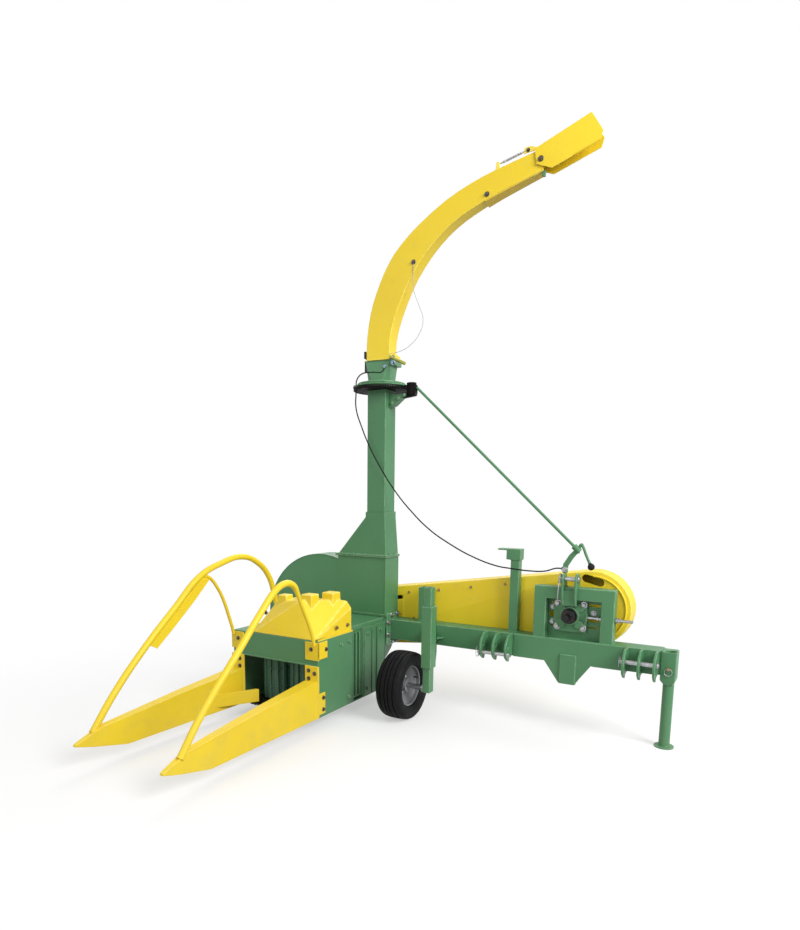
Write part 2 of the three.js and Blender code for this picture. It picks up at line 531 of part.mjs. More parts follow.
// the duct is rolled in three lengths that meet across these lines, from back to belly
const seamLines = [[[132, 2768], [230, 2626]], [[600, 3058], [640, 2940]]]
const spoutOutline = (inset, overshoot) => {
  const smooth = (points) => new THREE.SplineCurve(points.map(([u, v]) => new THREE.Vector2(u, v))).getPoints(26)
  const back = smooth(backLine)
  const belly = smooth(bellyLine)
  const push = (list, sign) => list.map((p, i) => {
    const a = list[Math.max(0, i - 1)]
    const b = list[Math.min(list.length - 1, i + 1)]
    const dir = b.clone().sub(a).normalize()
    let u = p.x + sign * dir.y * inset
    let v = p.y - sign * dir.x * inset
    if (i === 0) { u -= dir.x * overshoot; v -= dir.y * overshoot }
    if (i === list.length - 1) { u += dir.x * overshoot; v += dir.y * overshoot }
    return [u, v]
  })
  return [...push(back, 1), ...push(belly, 1)]
}
{
  const half = SWIVEL.width / 2
  let spout = sideways(spoutOutline(0, 0), -half, half)
    .subtract(sideways(spoutOutline(DUCT.wall, 3), -half + DUCT.wall, half - DUCT.wall))
  const knuckle = block(73, HINGE.s + 12, -HINGE.knuckle, HINGE.knuckle, HINGE.z - 5, HINGE.z + 24)
  spout = spout.add(knuckle).subtract(bar([HINGE.s, -99, HINGE.z], [HINGE.s, 99, HINGE.z], HINGE.pin + GAP))
  const seam = ([back, belly]) => {
    const along = new THREE.Vector2(belly[0] - back[0], belly[1] - back[1]).normalize()
    const corner = (p, reach, side) => [p[0] + along.x * reach - along.y * side, p[1] + along.y * reach + along.x * side]
    return sideways([corner(back, -60, -GAP / 2), corner(back, -60, GAP / 2), corner(belly, 60, GAP / 2),
      corner(belly, 60, -GAP / 2)], -half - 1, half + 1)
  }
  const lengths = seamLines.reduce((duct, line) => duct.subtract(seam(line)), spout).decompose()
  lengths.sort((a, b) => a.boundingBox().max[2] - b.boundingBox().max[2])
  const names = ['spout', 'spout_middle', 'spout_end']
  names.forEach((name, i) => add(name, lengths[i], 'yellow', swivel))
}
const FLAP = { s: 940, z: 3094, half: SWIVEL.width / 2 + 5, wall: 4 }
{
  const cheek = [[905, 3150], [918, 3072], [940, 3062], [1000, 3040], [1105, 3078], [1240, 3128], [1252, 3173], [1192, 3268],
    [1186, 3270]]
  const outer = sideways(cheek, -FLAP.half - FLAP.wall, FLAP.half + FLAP.wall)
  const inner = sideways([[880, 3136], [1400, 3348], [1400, 2900], [880, 2900]], -FLAP.half, FLAP.half)
  const ears = bar([FLAP.s, -FLAP.half - 8, FLAP.z], [FLAP.s, FLAP.half + 8, FLAP.z], 9)
    .subtract(bar([FLAP.s, -SWIVEL.width / 2 - GAP, FLAP.z], [FLAP.s, SWIVEL.width / 2 + GAP, FLAP.z], 12))
  add('flap', outer.subtract(inner).add(ears), 'yellow', swivel)
}

// ---------- snouts, dividing rails and their brackets, mirrored about the head's middle ----------
const snoutSide = (inset) => [[776 - inset * 3, HEAD.bottom - (inset ? 20 : 0)], [SNOUT.kink, HEAD.bottom - (inset ? 20 : 0)],
  ...(inset ? [] : [[1760, 112]]), [SNOUT.tip - inset * 12, SNOUT.tipHeight], [SNOUT.tip - 4 - inset * 12, SNOUT.tipHeight + 10 - inset],
  [1810 - inset * 6, 164 - inset], [1709 - inset * 2, 201 - inset], [1200, 253 - inset], [776 - inset * 3, 286 - inset]]
const snoutPlan = (inset, grow = 0) => [[700, 0 - inset + grow], [SNOUT.tip + 1, -6 - inset + grow],
  [SNOUT.tip + 1, -30 + inset - grow], [SNOUT.kink, -52 + inset - grow], [700, -SNOUT.width + inset - grow]]
const mirrored = (points, sign, face) => {
  return points.map(([x, y]) => [x, face + sign * y])
}
for (const [side, face, sign] of [['left', HEAD.left, 1], ['right', HEAD.right, -1]]) {
  const tall = [0, 400]
  const [lo, hi] = sign > 0 ? [face - 200, face + 50] : [face - 50, face + 200]
  const shell = sideways(snoutSide(0), lo, hi).intersect(upright(mirrored(snoutPlan(0), sign, face), ...tall))
  const hollow = sideways(snoutSide(SNOUT.wall), lo, hi)
    .intersect(upright(mirrored(snoutPlan(SNOUT.wall), sign, face), ...tall))
  const y = (v) => face + sign * v
  const span = (a, b) => [Math.min(y(a), y(b)), Math.max(y(a), y(b))]
  const front = block(HEAD.front + GAP, HEAD.front + 10, ...span(-SNOUT.width, 6), HEAD.bottom, 372)
  const cheek = block(712, HEAD.front + 10, ...span(GAP, 6), HEAD.bottom + 20, 214)
  const guide = upright(mirrored([[1020, -62], [1020, -56], [780, -178], [HEAD.front + 10, -196], [HEAD.front + 10, -202]],
    sign, face), 100, 176)
  add(`snout_${side}`, shell.subtract(hollow).add(front).add(cheek).add(guide), 'yellow')

  // dividing rail: up from the snout's nose, over an arch and down to the head's top corner
  const railY = y(-16)
  const top = side === 'left'
    ? [[1753, 176], [1630, 330], [1366, 590], [1206, 748], [1106, 838], [1040, 862], [985, 858], [938, 832]]
    : [[1753, 176], [1630, 330], [1440, 520], [1220, 710], [1040, 858], [880, 916], [686, 946], [554, 896], [463, 812],
        [412, 700], [372, 560]]
  const rail = solid(pipe(top.map(([x, z]) => [x, railY, z]), TUBE.radius, side === 'left' ? 34 : 52, 10))
  const rodTop = side === 'left' ? [945, railY, 838] : [1010, railY, 872]
  const rod = bar(rodTop, [800, railY, 540], TUBE.rod, 12)
    .add(bar([800, railY, 548], [HEAD.front + 16, railY, 484], TUBE.rod, 12))
  const corner = block(HEAD.front + GAP, HEAD.front + 8, ...span(-SNOUT.width, 7), 404, 506)
    .add(block(690, HEAD.front + 8, ...span(GAP, 7), 410, 506))
  const nose = sideways(snoutSide(0).map(([x, z]) => [x, z + GAP * 1.5]), lo, hi)
    .intersect(upright(mirrored(snoutPlan(0, GAP), sign, face), ...tall))
  let divider = rail.add(rod).add(corner).subtract(nose)
  if (side === 'right') divider = divider.subtract(block(200, 500, face - 50, face + 100, 400, HEAD.top + GAP))
  add(`divider_${side}`, divider, 'yellow')
}

// ---------- control cable, hanging from a clip on the ring to the top link clevis ----------
const cablePoints = [[82, -1362, CHUTE.top], [82, -1362, 1854], [79, -1319, 1731], [75, -1277, 1638], [68, -1192, 1490],
  [59, -1088, 1343], [50, -985, 1228], [39, -851, 1109], [28, -727, 1032], [16, -587, 963], [3, -428, 912],
  [-4, -345, 902], [-14, -235, 894], [-21, -150, 898], [-26, -88, 917.5],
  [-27, -58 - GAP, 918]]
add('control_cable', pipe(cablePoints, 4, 78, 8), 'black')

// ---------- put the origin under the middle of the bounding box ----------
machine.updateMatrixWorld(true)
const bounds = new THREE.Box3()
machine.traverse((item) => {
  if (item.isMesh && item.name !== 'control_cable') bounds.expandByObject(item, true)
})
machine.position.set(-(bounds.min.x + bounds.max.x) / 2, -(bounds.min.y + bounds.max.y) / 2, -bounds.min.z)

const group = new THREE.Group()
group.add(machine)

export default group
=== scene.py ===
import math
import bpy
from mathutils import Matrix, Quaternion, Vector


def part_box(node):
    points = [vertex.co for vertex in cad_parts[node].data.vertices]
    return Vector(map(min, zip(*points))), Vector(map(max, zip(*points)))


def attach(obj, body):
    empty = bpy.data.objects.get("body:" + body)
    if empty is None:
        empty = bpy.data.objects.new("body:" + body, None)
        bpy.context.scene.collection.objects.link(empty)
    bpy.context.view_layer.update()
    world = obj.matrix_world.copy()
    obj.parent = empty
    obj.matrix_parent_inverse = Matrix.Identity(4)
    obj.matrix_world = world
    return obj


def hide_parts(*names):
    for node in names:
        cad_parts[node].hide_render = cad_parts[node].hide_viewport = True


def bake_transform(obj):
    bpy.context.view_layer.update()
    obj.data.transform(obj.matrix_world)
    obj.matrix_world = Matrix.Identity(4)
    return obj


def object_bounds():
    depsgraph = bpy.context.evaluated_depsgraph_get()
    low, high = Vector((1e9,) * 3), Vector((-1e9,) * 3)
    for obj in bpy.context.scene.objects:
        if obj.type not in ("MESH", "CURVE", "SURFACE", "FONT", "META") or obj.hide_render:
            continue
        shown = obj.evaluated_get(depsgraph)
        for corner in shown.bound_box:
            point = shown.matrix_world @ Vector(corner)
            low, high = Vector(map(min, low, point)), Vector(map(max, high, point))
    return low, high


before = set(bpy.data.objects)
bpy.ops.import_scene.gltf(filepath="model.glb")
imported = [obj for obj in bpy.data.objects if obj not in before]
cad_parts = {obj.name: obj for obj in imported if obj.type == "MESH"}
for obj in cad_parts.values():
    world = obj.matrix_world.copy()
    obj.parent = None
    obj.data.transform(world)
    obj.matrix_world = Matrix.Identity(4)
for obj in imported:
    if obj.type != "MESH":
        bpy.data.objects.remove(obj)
cad_low, cad_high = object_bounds()

# ---------- viewpoint ----------
# The machine stands parked on a pale floor. It is seen from the side where its parking leg is, a little in
# front of the snouts, from a standing person's chest height.
beam_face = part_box("bearing_frame")[1].x
shaft_line = (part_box("pto_shaft")[0].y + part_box("pto_shaft")[1].y) / 2


def at(x, y, z):
    """A place measured from the beam's front face, the drive shaft and the floor, in metres."""
    return Vector((beam_face + x, shaft_line + y, z))


eye = at(3.5909, 0.9303, 1.3028)
yaw, pitch, roll = math.radians(31.198), math.radians(8.771), math.radians(0.436)
look = Vector((-math.cos(yaw) * math.cos(pitch), -math.sin(yaw) * math.cos(pitch), -math.sin(pitch)))
bpy.ops.object.camera_add(location=eye)
camera = bpy.context.object
camera.rotation_mode = "QUATERNION"
camera.rotation_quaternion = look.to_track_quat("-Z", "Y") @ Quaternion((0, 0, 1), roll)
camera.data.lens = 25.1
camera.data.shift_x = 0.0242
camera.data.shift_y = 0.1424
bpy.context.scene.camera = camera
bpy.context.scene.view_settings.view_transform = "Standard"

# ---------- floor and light ----------
# A seamless pale studio: a wide floor that fades into the background, one large soft lamp on the leg's side,
# two weaker ones in front and behind, and an even fill from all round.
backdrop_white = 1.0


def node_after(tree, kind, **inputs):
    """A new shader node with its named inputs set to values or linked to other nodes' outputs."""
    node = tree.nodes.new(kind)
    for name, value in inputs.items():
        socket = node.inputs[name.replace("_", " ")]
        if isinstance(value, bpy.types.NodeSocket):
            tree.links.new(value, socket)
        else:
            socket.default_value = value
    return node


def combined(tree, operation, first, second):
    """One value worked out from two others."""
    node = tree.nodes.new("ShaderNodeMath")
    node.operation = operation
    tree.links.new(first, node.inputs[0])
    tree.links.new(second, node.inputs[1])
    return node.outputs[0]


def mixed_shader(tree, share, first, second):
    """The second shader takes the place of the first by a share from 0 to 1."""
    node = tree.nodes.new("ShaderNodeMixShader")
    for socket, source in zip(node.inputs, (share, first, second)):
        tree.links.new(source, socket)
    return node.outputs[0]


def seen_ray(tree):
    """1 for what the eye sees directly, in a mirror or through glass, 0 for light on its way to a surface."""
    ray = tree.nodes.new("ShaderNodeLightPath").outputs
    direct = combined(tree, "MAXIMUM", ray["Is Camera Ray"], ray["Is Glossy Ray"])
    return combined(tree, "MAXIMUM", direct, ray["Is Transmission Ray"])


world = bpy.data.worlds.new("studio")
bpy.context.scene.world = world
world.use_nodes = True
sky = world.node_tree
fill = node_after(sky, "ShaderNodeBackground", Color=(1, 1, 1, 1), Strength=0.56)
white = node_after(sky, "ShaderNodeBackground", Color=(1, 1, 1, 1), Strength=backdrop_white)
sky.links.new(mixed_shader(sky, seen_ray(sky), fill.outputs[0], white.outputs[0]),
              sky.nodes["World Output"].inputs["Surface"])

floor_radius = 30
bpy.ops.mesh.primitive_circle_add(vertices=96, radius=floor_radius, fill_type="NGON", location=(0, 0, 0))
floor = bpy.context.object
floor.name = "floor"
floor_paint = bpy.data.materials.new("pale_floor")
floor_paint.use_nodes = True
tree = floor_paint.node_tree
place = tree.nodes.new("ShaderNodeTexCoord").outputs["Object"]
distance = node_after(tree, "ShaderNodeVectorMath")
distance.operation = "LENGTH"
tree.links.new(place, distance.inputs[0])
fade = node_after(tree, "ShaderNodeMapRange", From_Min=1.2, From_Max=3.6, To_Min=0.45, To_Max=1.0)
fade.interpolation_type = "SMOOTHSTEP"
tree.links.new(distance.outputs["Value"], fade.inputs["Value"])
shine = node_after(tree, "ShaderNodeEmission", Color=(1, 1, 1, 1), Strength=backdrop_white)
matt = node_after(tree, "ShaderNodeBsdfDiffuse")
tone = node_after(tree, "ShaderNodeMapRange", Value=seen_ray(tree), To_Min=0.34, To_Max=0.9)
tree.links.new(tone.outputs[0], matt.inputs["Color"])
share = combined(tree, "MULTIPLY", fade.outputs[0], seen_ray(tree))
tree.links.new(mixed_shader(tree, share, matt.outputs[0], shine.outputs[0]),
               tree.nodes["Material Output"].inputs["Surface"])
floor.data.materials.append(floor_paint)

machine_middle = Vector((0, -0.2, 1.2))
for label, spot, size, power in (("key", (1.0, 5.4, 4.4), 3.2, 400), ("fill", (6.0, -1.6, 3.4), 3.4, 60),
                                 ("rim", (-4.5, -2.5, 4.8), 3.0, 110)):
    bpy.ops.object.light_add(type="AREA", location=spot)
    lamp = bpy.context.object
    lamp.name = label
    lamp.data.size = size
    lamp.data.energy = power
    lamp.rotation_euler = (machine_middle - Vector(spot)).to_track_quat("-Z", "Y").to_euler()

# ---------- control cable ----------
# Black jacketed cable, 8 mm across. It hangs free from its clip under the turntable, along the chute, and
# ends in the lug on the crank's support.
cable_points = [at(x, y, z) for x, y, z in (
    (0.082, -1.362, 1.957), (0.082, -1.362, 1.854), (0.079, -1.319, 1.731), (0.075, -1.277, 1.638),
    (0.068, -1.192, 1.490), (0.059, -1.088, 1.343), (0.050, -0.985, 1.228), (0.039, -0.851, 1.109),
    (0.028, -0.727, 1.032), (0.016, -0.587, 0.963), (0.003, -0.428, 0.912), (-0.004, -0.345, 0.902),
    (-0.014, -0.235, 0.894), (-0.021, -0.150, 0.898), (-0.026, -0.088, 0.9175), (-0.027, -0.0583, 0.918))]
cable_diameter = 0.008


def cord_curve(name, points, diameter):
    """One smooth round cord through the points, as a curve with a round section."""
    bpy.ops.curve.primitive_bezier_curve_add(location=(0, 0, 0))
    cord = bpy.context.object
    cord.name = name
    spline = cord.data.splines[0]
    spline.bezier_points.add(len(points) - 2)
    for knot, point in zip(spline.bezier_points, points):
        knot.co = point
        knot.handle_left_type = "AUTO"
        knot.handle_right_type = "AUTO"
    cord.data.resolution_u = 8
    cord.data.bevel_depth = diameter / 2
    cord.data.bevel_resolution = 3
    cord.data.use_fill_caps = True
    return cord


def plain_material(name, colour, roughness, metallic=0.0):
    """A new material and its node tree and shader, before its own pattern is added."""
    material = bpy.data.materials.new(name)
    material.use_nodes = True
    shader = material.node_tree.nodes["Principled BSDF"]
    shader.inputs["Base Color"].default_value = (*colour, 1)
    shader.inputs["Roughness"].default_value = roughness
    shader.inputs["Metallic"].default_value = metallic
    return material, material.node_tree, shader


def noise(tree, scale, detail=3.0, stretch=None):
    """Soft random tone over the piece, from its own coordinates."""
    place = tree.nodes.new("ShaderNodeTexCoord").outputs["Object"]
    if stretch:
        squeeze = node_after(tree, "ShaderNodeMapping", Vector=place, Scale=stretch)
        place = squeeze.outputs[0]
    return node_after(tree, "ShaderNodeTexNoise", Vector=place, Scale=scale, Detail=detail).outputs["Fac"]


def remap(tree, value, low, high, to_low, to_high):
    """A tone stretched from one range to another, and held at its ends."""
    return node_after(tree, "ShaderNodeMapRange", Value=value, From_Min=low, From_Max=high,
                      To_Min=to_low, To_Max=to_high).outputs[0]


def mix(tree, factor, first, second):
    """A colour between two others."""
    node = tree.nodes.new("ShaderNodeMix")
    node.data_type = "RGBA"
    for socket, value in ((node.inputs["Factor"], factor), (node.inputs[6], first), (node.inputs[7], second)):
        if isinstance(value, bpy.types.NodeSocket):
            tree.links.new(value, socket)
        else:
            socket.default_value = value if isinstance(value, float) else (*value, 1)
    return node.outputs[2]


def roughen(tree, shader, height, strength, depth=0.001):
    """Small relief on a surface."""
    bump = node_after(tree, "ShaderNodeBump", Height=height, Strength=strength, Distance=depth)
    tree.links.new(bump.outputs[0], shader.inputs["Normal"])


def rubber(name, colour, grain):
    """Black rubber with a dusty bloom and a fine grain."""
    material, tree, shader = plain_material(name, colour, 0.7)
    bloom = remap(tree, noise(tree, 9, 5), 0.4, 0.75, 0.0, 0.30)
    tree.links.new(mix(tree, bloom, colour, tuple(0.007 + 1.1 * c for c in colour)), shader.inputs["Base Color"])
    shader.inputs["Specular IOR Level"].default_value = 0.16
    tree.links.new(remap(tree, noise(tree, 30, 4), 0.3, 0.7, 0.55, 0.8), shader.inputs["Roughness"])
    roughen(tree, shader, noise(tree, grain, 4), 0.35)
    return material


cable_jacket = rubber("cable_jacket", (0.012, 0.012, 0.013), 400)
cable = cord_curve("hanging_cable", cable_points, cable_diameter)
cable.data.materials.append(cable_jacket)
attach(cable, "frame")
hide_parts("control_cable")

# ---------- main beam ----------
# Square hollow section, 130 by 118 mm with 8 mm walls, cut and welded in the shop and sprayed with green
# enamel. Everything else hangs on it.
green = (0.088, 0.252, 0.112)
green_dark = (0.064, 0.205, 0.090)
# lighter green for the rounded edges: a painted highlight along them, patchy with rubbed wear
green_edge_highlight_and_wear = (0.20, 0.36, 0.21)
floor_dust = (0.30, 0.27, 0.21)


def enamel(name, colour, deep, edge_highlight_and_wear=None):
    """Sprayed enamel: slow drifts of tone, orange peel, fine scuffs, and dust on what is near the ground.
    With an edge colour it is the same paint on an edge, lightened there as a painted highlight and rubbed thin in
    places."""
    material, tree, shader = plain_material(name, colour, 0.36)
    drift = remap(tree, noise(tree, 2.2, 4), 0.35, 0.68, 0.0, 0.55)
    tone = mix(tree, drift, colour, deep)
    scuff = remap(tree, noise(tree, 14, 9), 0.60, 0.74, 0.0, 0.30)
    tone = mix(tree, scuff, tone, tuple(0.7 * c + 0.06 for c in colour))
    # on an edge the lighter colour is mixed in by a quarter or more everywhere: a painted highlight, patchy like rubbed
    # paint
    if edge_highlight_and_wear:
        highlight_and_wear_share = remap(tree, noise(tree, 38, 7), 0.40, 0.60, 0.25, 0.95)
        tone = mix(tree, highlight_and_wear_share, tone, edge_highlight_and_wear)
    height = node_after(tree, "ShaderNodeSeparateXYZ", Vector=tree.nodes.new("ShaderNodeTexCoord").outputs["Object"])
    low = remap(tree, height.outputs["Z"], 0.0, 0.45, 0.14, 0.0)
    patches = remap(tree, noise(tree, 11, 8), 0.38, 0.70, 0.0, 1.0)
    tone = mix(tree, combined(tree, "MULTIPLY", low, patches), tone, floor_dust)
    tree.links.new(tone, shader.inputs["Base Color"])
    tree.links.new(remap(tree, noise(tree, 5, 6), 0.3, 0.7, 0.36, 0.52), shader.inputs["Roughness"])
    shader.inputs["Specular IOR Level"].default_value = 0.36
    shader.inputs["Coat Weight"].default_value = 0.08
    shader.inputs["Coat Roughness"].default_value = 0.12
    roughen(tree, shader, noise(tree, 160, 2), 0.06, 0.0005)
    return material


green_paint = enamel("green_enamel", green, green_dark)
green_edge = enamel("green_enamel_edge", green, green_dark, green_edge_highlight_and_wear)
green_finish = (green_paint, green_edge)
on_frame = (green_finish, "frame", "green_paint")
seam_on_frame = (green_paint, "frame", "green_paint")
# painted bolts take the lighter edge green all over: painted highlight and wear
bolt_on_frame = (green_edge, "frame", "green_paint")


def only(piece):
    """The piece alone is selected and active."""
    bpy.ops.object.select_all(action="DESELECT")
    piece.select_set(True)
    bpy.context.view_layer.objects.active = piece


def edit(piece):
    """The piece is open in edit mode with everything selected."""
    only(piece)
    bpy.ops.object.mode_set(mode="EDIT")
    bpy.ops.mesh.select_all(action="SELECT")


def close_edit():
    """Edit mode ends."""
    bpy.ops.object.mode_set(mode="OBJECT")


def rounded(piece, width, segments=2, angle=30):
    """The piece's sharp edges are rounded, and the rounding takes its second material, the lighter edge paint of
    painted highlight and wear.
    """
    only(piece)
    bevel = piece.modifiers.new("edges", "BEVEL")
    bevel.width = width
    bevel.segments = segments
    bevel.limit_method = "ANGLE"
    bevel.angle_limit = math.radians(angle)
    bevel.use_clamp_overlap = False
    bevel.material = min(1, len(piece.data.materials) - 1)
    bpy.ops.object.modifier_apply(modifier="edges")
    edit(piece)
    bpy.ops.mesh.remove_doubles(threshold=0.00005)
    bpy.ops.mesh.dissolve_degenerate(threshold=0.00005)
    bpy.ops.mesh.normals_make_consistent(inside=False)
    bpy.ops.mesh.quads_convert_to_tris(quad_method="BEAUTY", ngon_method="BEAUTY")
    close_edit()
    bpy.ops.object.shade_smooth_by_angle(angle=math.radians(40))
    piece.modifiers.new("flats", "WEIGHTED_NORMAL").keep_sharp = True
    bpy.ops.object.modifier_apply(modifier="flats")
    return piece


def own(piece, finish, body, slot=None):
    """The piece gets its material, or its pair of flats and edges, and the body that it moves with. Its slot is not
    used.
    """
    piece.data.materials.clear()
    for material in finish if isinstance(finish, tuple) else (finish,):
        piece.data.materials.append(material)
    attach(piece, body)
    return piece


def fabricated(node, width, finish, body, slot, segments=2, angle=30):
    """A welded or pressed piece of the frame: the solid's copy with its flats joined and its edges rounded."""
    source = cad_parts[node]
    piece = bpy.data.objects.new(node + "_made", source.data.copy())
    bpy.context.scene.collection.objects.link(piece)
    edit(piece)
    bpy.ops.mesh.remove_doubles(threshold=0.0001)
    bpy.ops.mesh.dissolve_limited(angle_limit=math.radians(0.8))
    close_edit()
    own(piece, finish, body, slot)
    rounded(piece, width, segments, angle)
    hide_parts(node)
    return piece


def joined(parts, name):
    """Several modelled parts become one piece."""
    bpy.ops.object.select_all(action="DESELECT")
    for part in parts:
        part.select_set(True)
    bpy.context.view_layer.objects.active = parts[0]
    if len(parts) > 1:
        bpy.ops.object.join()
    parts[0].name = name
    settle(parts[0])
    return parts[0]


def settle(piece):
    """The piece's place goes into its mesh, so that its object stands at the origin, unturned."""
    only(piece)
    bpy.ops.object.transform_apply(location=True, rotation=True, scale=True)


def toward(direction):
    """The turn that lays an upright shape along a direction."""
    return Vector((0, 0, 1)).rotation_difference(Vector(direction)).to_matrix().to_4x4()


def fasteners(name, places, across, finish, body, slot, sides=6):
    """Hexagon bolt heads on washers, one at each place, facing outwards. across is the size over the flats."""
    bpy.ops.mesh.primitive_cylinder_add(vertices=20, radius=across * 0.95, depth=across * 0.20,
                                        location=(0, 0, across * 0.10))
    plate = bpy.context.object
    bpy.ops.mesh.primitive_cylinder_add(vertices=sides, radius=across * 0.577 if sides == 6 else across * 0.5,
                                        depth=across * 0.62, location=(0, 0, across * 0.50))
    head = bpy.context.object
    pattern = joined([head, plate], name)
    pattern.data.materials.append(finish)
    rounded(pattern, across * 0.06, 1, 40)
    copies = []
    for place, facing in places[1:]:
        copy = pattern.copy()
        copy.data = pattern.data.copy()
        bpy.context.scene.collection.objects.link(copy)
        copy.data.transform(Matrix.Translation(place) @ toward(facing))
        copies.append(copy)
    pattern.data.transform(Matrix.Translation(places[0][0]) @ toward(places[0][1]))
    return own(joined([pattern] + copies, name), finish, body, slot)


def tube(name, points, radius, smooth=False, sides=12, ripple=0.0, thinning=()):
    """A round bar, pipe or weld bead along a line of points. thinning gives the last points' shares of the radius."""
    bpy.ops.curve.primitive_nurbs_path_add(location=(0, 0, 0))
    line = bpy.context.object
    line.name = name
    data = line.data
    data.splines.clear()
    data.dimensions = "3D"
    spline = data.splines.new("BEZIER" if smooth else "POLY")
    knots = spline.bezier_points if smooth else spline.points
    knots.add(len(points) - 1)
    for step, (knot, point) in enumerate(zip(knots, points)):
        knot.co = point if smooth else (*point, 1)
        knot.radius = 1 - ripple * (step % 2)
        if smooth:
            knot.handle_left_type = knot.handle_right_type = "AUTO"
    for knot, share in zip(reversed(knots), thinning):
        knot.radius = share
    data.resolution_u = 8
    data.bevel_depth = radius
    data.bevel_resolution = max(0, sides // 4 - 1)
    data.use_fill_caps = True
    only(line)
    bpy.ops.object.convert(target="MESH")
    bpy.ops.object.shade_smooth_by_angle(angle=math.radians(50))
    return bpy.context.object


def weld(name, lines, radius, finish, body, slot):
    """Rippled weld beads along straight stretches between points."""
    pitch = 0.006
    beads = []
    for line in lines:
        steps = []
        for start, end in zip(line, line[1:]):
            count = max(2, int((end - start).length / pitch))
            steps += [start.lerp(end, k / count) for k in range(count)]
        beads.append(tube(name, steps + [line[-1]], radius, sides=8, ripple=0.22))
    return own(joined(beads, name), finish, body, slot)


def spots(facing, *places):
    """Places for bolts that all face one way, each as (x, y, z) from the beam's face, the shaft and the floor."""
    return [(at(*place), facing) for place in places]


zinc = (0.44, 0.44, 0.45)


def plated(name, colour, tint):
    """Zinc-plated steel: bright, faintly clouded, and duller where it was handled."""
    material, tree, shader = plain_material(name, colour, 0.3, 0.9)
    cloud = remap(tree, noise(tree, 45, 6), 0.35, 0.7, 0.0, 0.8)
    tree.links.new(mix(tree, cloud, colour, tint), shader.inputs["Base Color"])
    tree.links.new(remap(tree, noise(tree, 80, 5), 0.3, 0.7, 0.24, 0.46), shader.inputs["Roughness"])
    roughen(tree, shader, noise(tree, 500, 2), 0.15, 0.0003)
    return material


zinc_plate = plated("zinc_plate", zinc, (0.26, 0.27, 0.27))
brown_plate = plated("yellow_passivated", (0.42, 0.30, 0.17), (0.26, 0.17, 0.09))
bright_on_frame = (zinc_plate, "frame", "zinc_plate")
brown_on_frame = (brown_plate, "frame", "zinc_plate")

fabricated("main_beam", 0.005, *on_frame)
beam_top, beam_bottom = 0.522, 0.392

# bead where the beam meets its end flange, and the bolts that hold the flange to the head's side panel
flange_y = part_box("main_beam")[0].y - shaft_line + 0.012
front_top, front_bottom, back_top, back_bottom = [
    at(x, flange_y, z) for x in (0.0, -0.118) for z in (beam_top, beam_bottom)]
weld("beam_flange_welds", [[front_top, front_bottom], [front_top, back_top], [front_bottom, back_bottom]],
     0.005, *seam_on_frame)
fasteners("beam_flange_bolts", spots((0, 1, 0), *((x, flange_y, z) for x, z in (
    (-0.095, 0.545), (-0.02, 0.545), (0.022, 0.50), (0.022, 0.42), (-0.02, 0.370), (-0.095, 0.370)))),
    0.019, *bright_on_frame)

# ---------- beam's fittings ----------
# Plates cut from 10 and 12 mm steel and welded to the beam: the front doubler with its pointed drawbar pocket,
# the open stub tube beside the wheel, and the spout's rest with its folded cap.
for node, edge in (("drawbar_bracket", 0.0025), ("beam_stub", 0.003), ("spout_post", 0.003)):
    fabricated(node, edge, *on_frame)
doubler_low, doubler_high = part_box("drawbar_bracket")
seam_x, right, left = doubler_high.x - 0.009, doubler_low.y, doubler_high.y
weld("doubler_welds", [[Vector((seam_x, y, z)) for y, z in run] for run in (
    ((right, beam_top), (right, beam_bottom)), ((left, beam_top), (left, beam_bottom)),
    ((right, beam_top), (left, beam_top)), ((right, beam_bottom), (shaft_line - 0.127, beam_bottom)),
    ((shaft_line + 0.140, beam_bottom), (left, beam_bottom)))], 0.0045, *seam_on_frame)


def boxed(name, low, high):
    """A squared block between two corners."""
    bpy.ops.mesh.primitive_cube_add(size=1, location=(Vector(low) + Vector(high)) / 2)
    block = bpy.context.object
    block.name = name
    block.scale = Vector(high) - Vector(low)
    settle(block)
    return block


pocket = boxed("drawbar_channel", at(0.0095, -0.032, 0.272), at(0.022, 0.058, 0.442))
rounded(own(pocket, *on_frame), 0.004, 3)
weld("channel_welds", [[at(0.0105, y, 0.276), at(0.0105, y, 0.442)] for y in (-0.0325, 0.0585)],
     0.0035, *seam_on_frame)


def square_seam(x, y, half, z):
    """The bead round the foot of an upright square tube, from its middle and half its width."""
    return [at(x + half * a, y + half * b, z) for a, b in ((-1, -1), (1, -1), (1, 1), (-1, 1), (-1, -1))]


weld("post_welds", [square_seam(-0.085, -0.342, 0.026, beam_top), square_seam(-0.060, -0.928, 0.030, beam_top)],
     0.0045, *seam_on_frame)
weld("post_cap_weld", [square_seam(-0.085, -0.342, 0.0275, 0.9475)], 0.0035, *seam_on_frame)

# ---------- three-ear hitch brackets ----------
# Three 12 mm ears on a welded strip at each end of the beam. A plated cross pin passes through one row of
# their two rows of holes, held by a collar and a linch pin.
for side in ("left", "right"):
    fabricated(f"hitch_bracket_{side}", 0.002, *on_frame)
    fabricated(f"hitch_pin_{side}", 0.0015, (zinc_plate, zinc_plate), "frame", "zinc_plate", angle=35)
ear_centre, ear_pitch, ear_half = 0.397, 0.076, 0.006
ear_seams = []
for sign in (1, -1):
    for k in (-1, 0, 1):
        for edge in (-ear_half, ear_half):
            y = sign * ear_centre + k * ear_pitch + edge
            ear_seams.append([at(0.009, y, 0.396), at(0.009, y, 0.518)])
weld("ear_welds", ear_seams, 0.0032, *seam_on_frame)


def turns(steps, start=0, end=360):
    """The cosine and sine of each angle from start to end in even steps, in degrees."""
    angles = [math.radians(start + (end - start) * k / steps) for k in range(steps + 1)]
    return [(math.cos(angle), math.sin(angle)) for angle in angles]


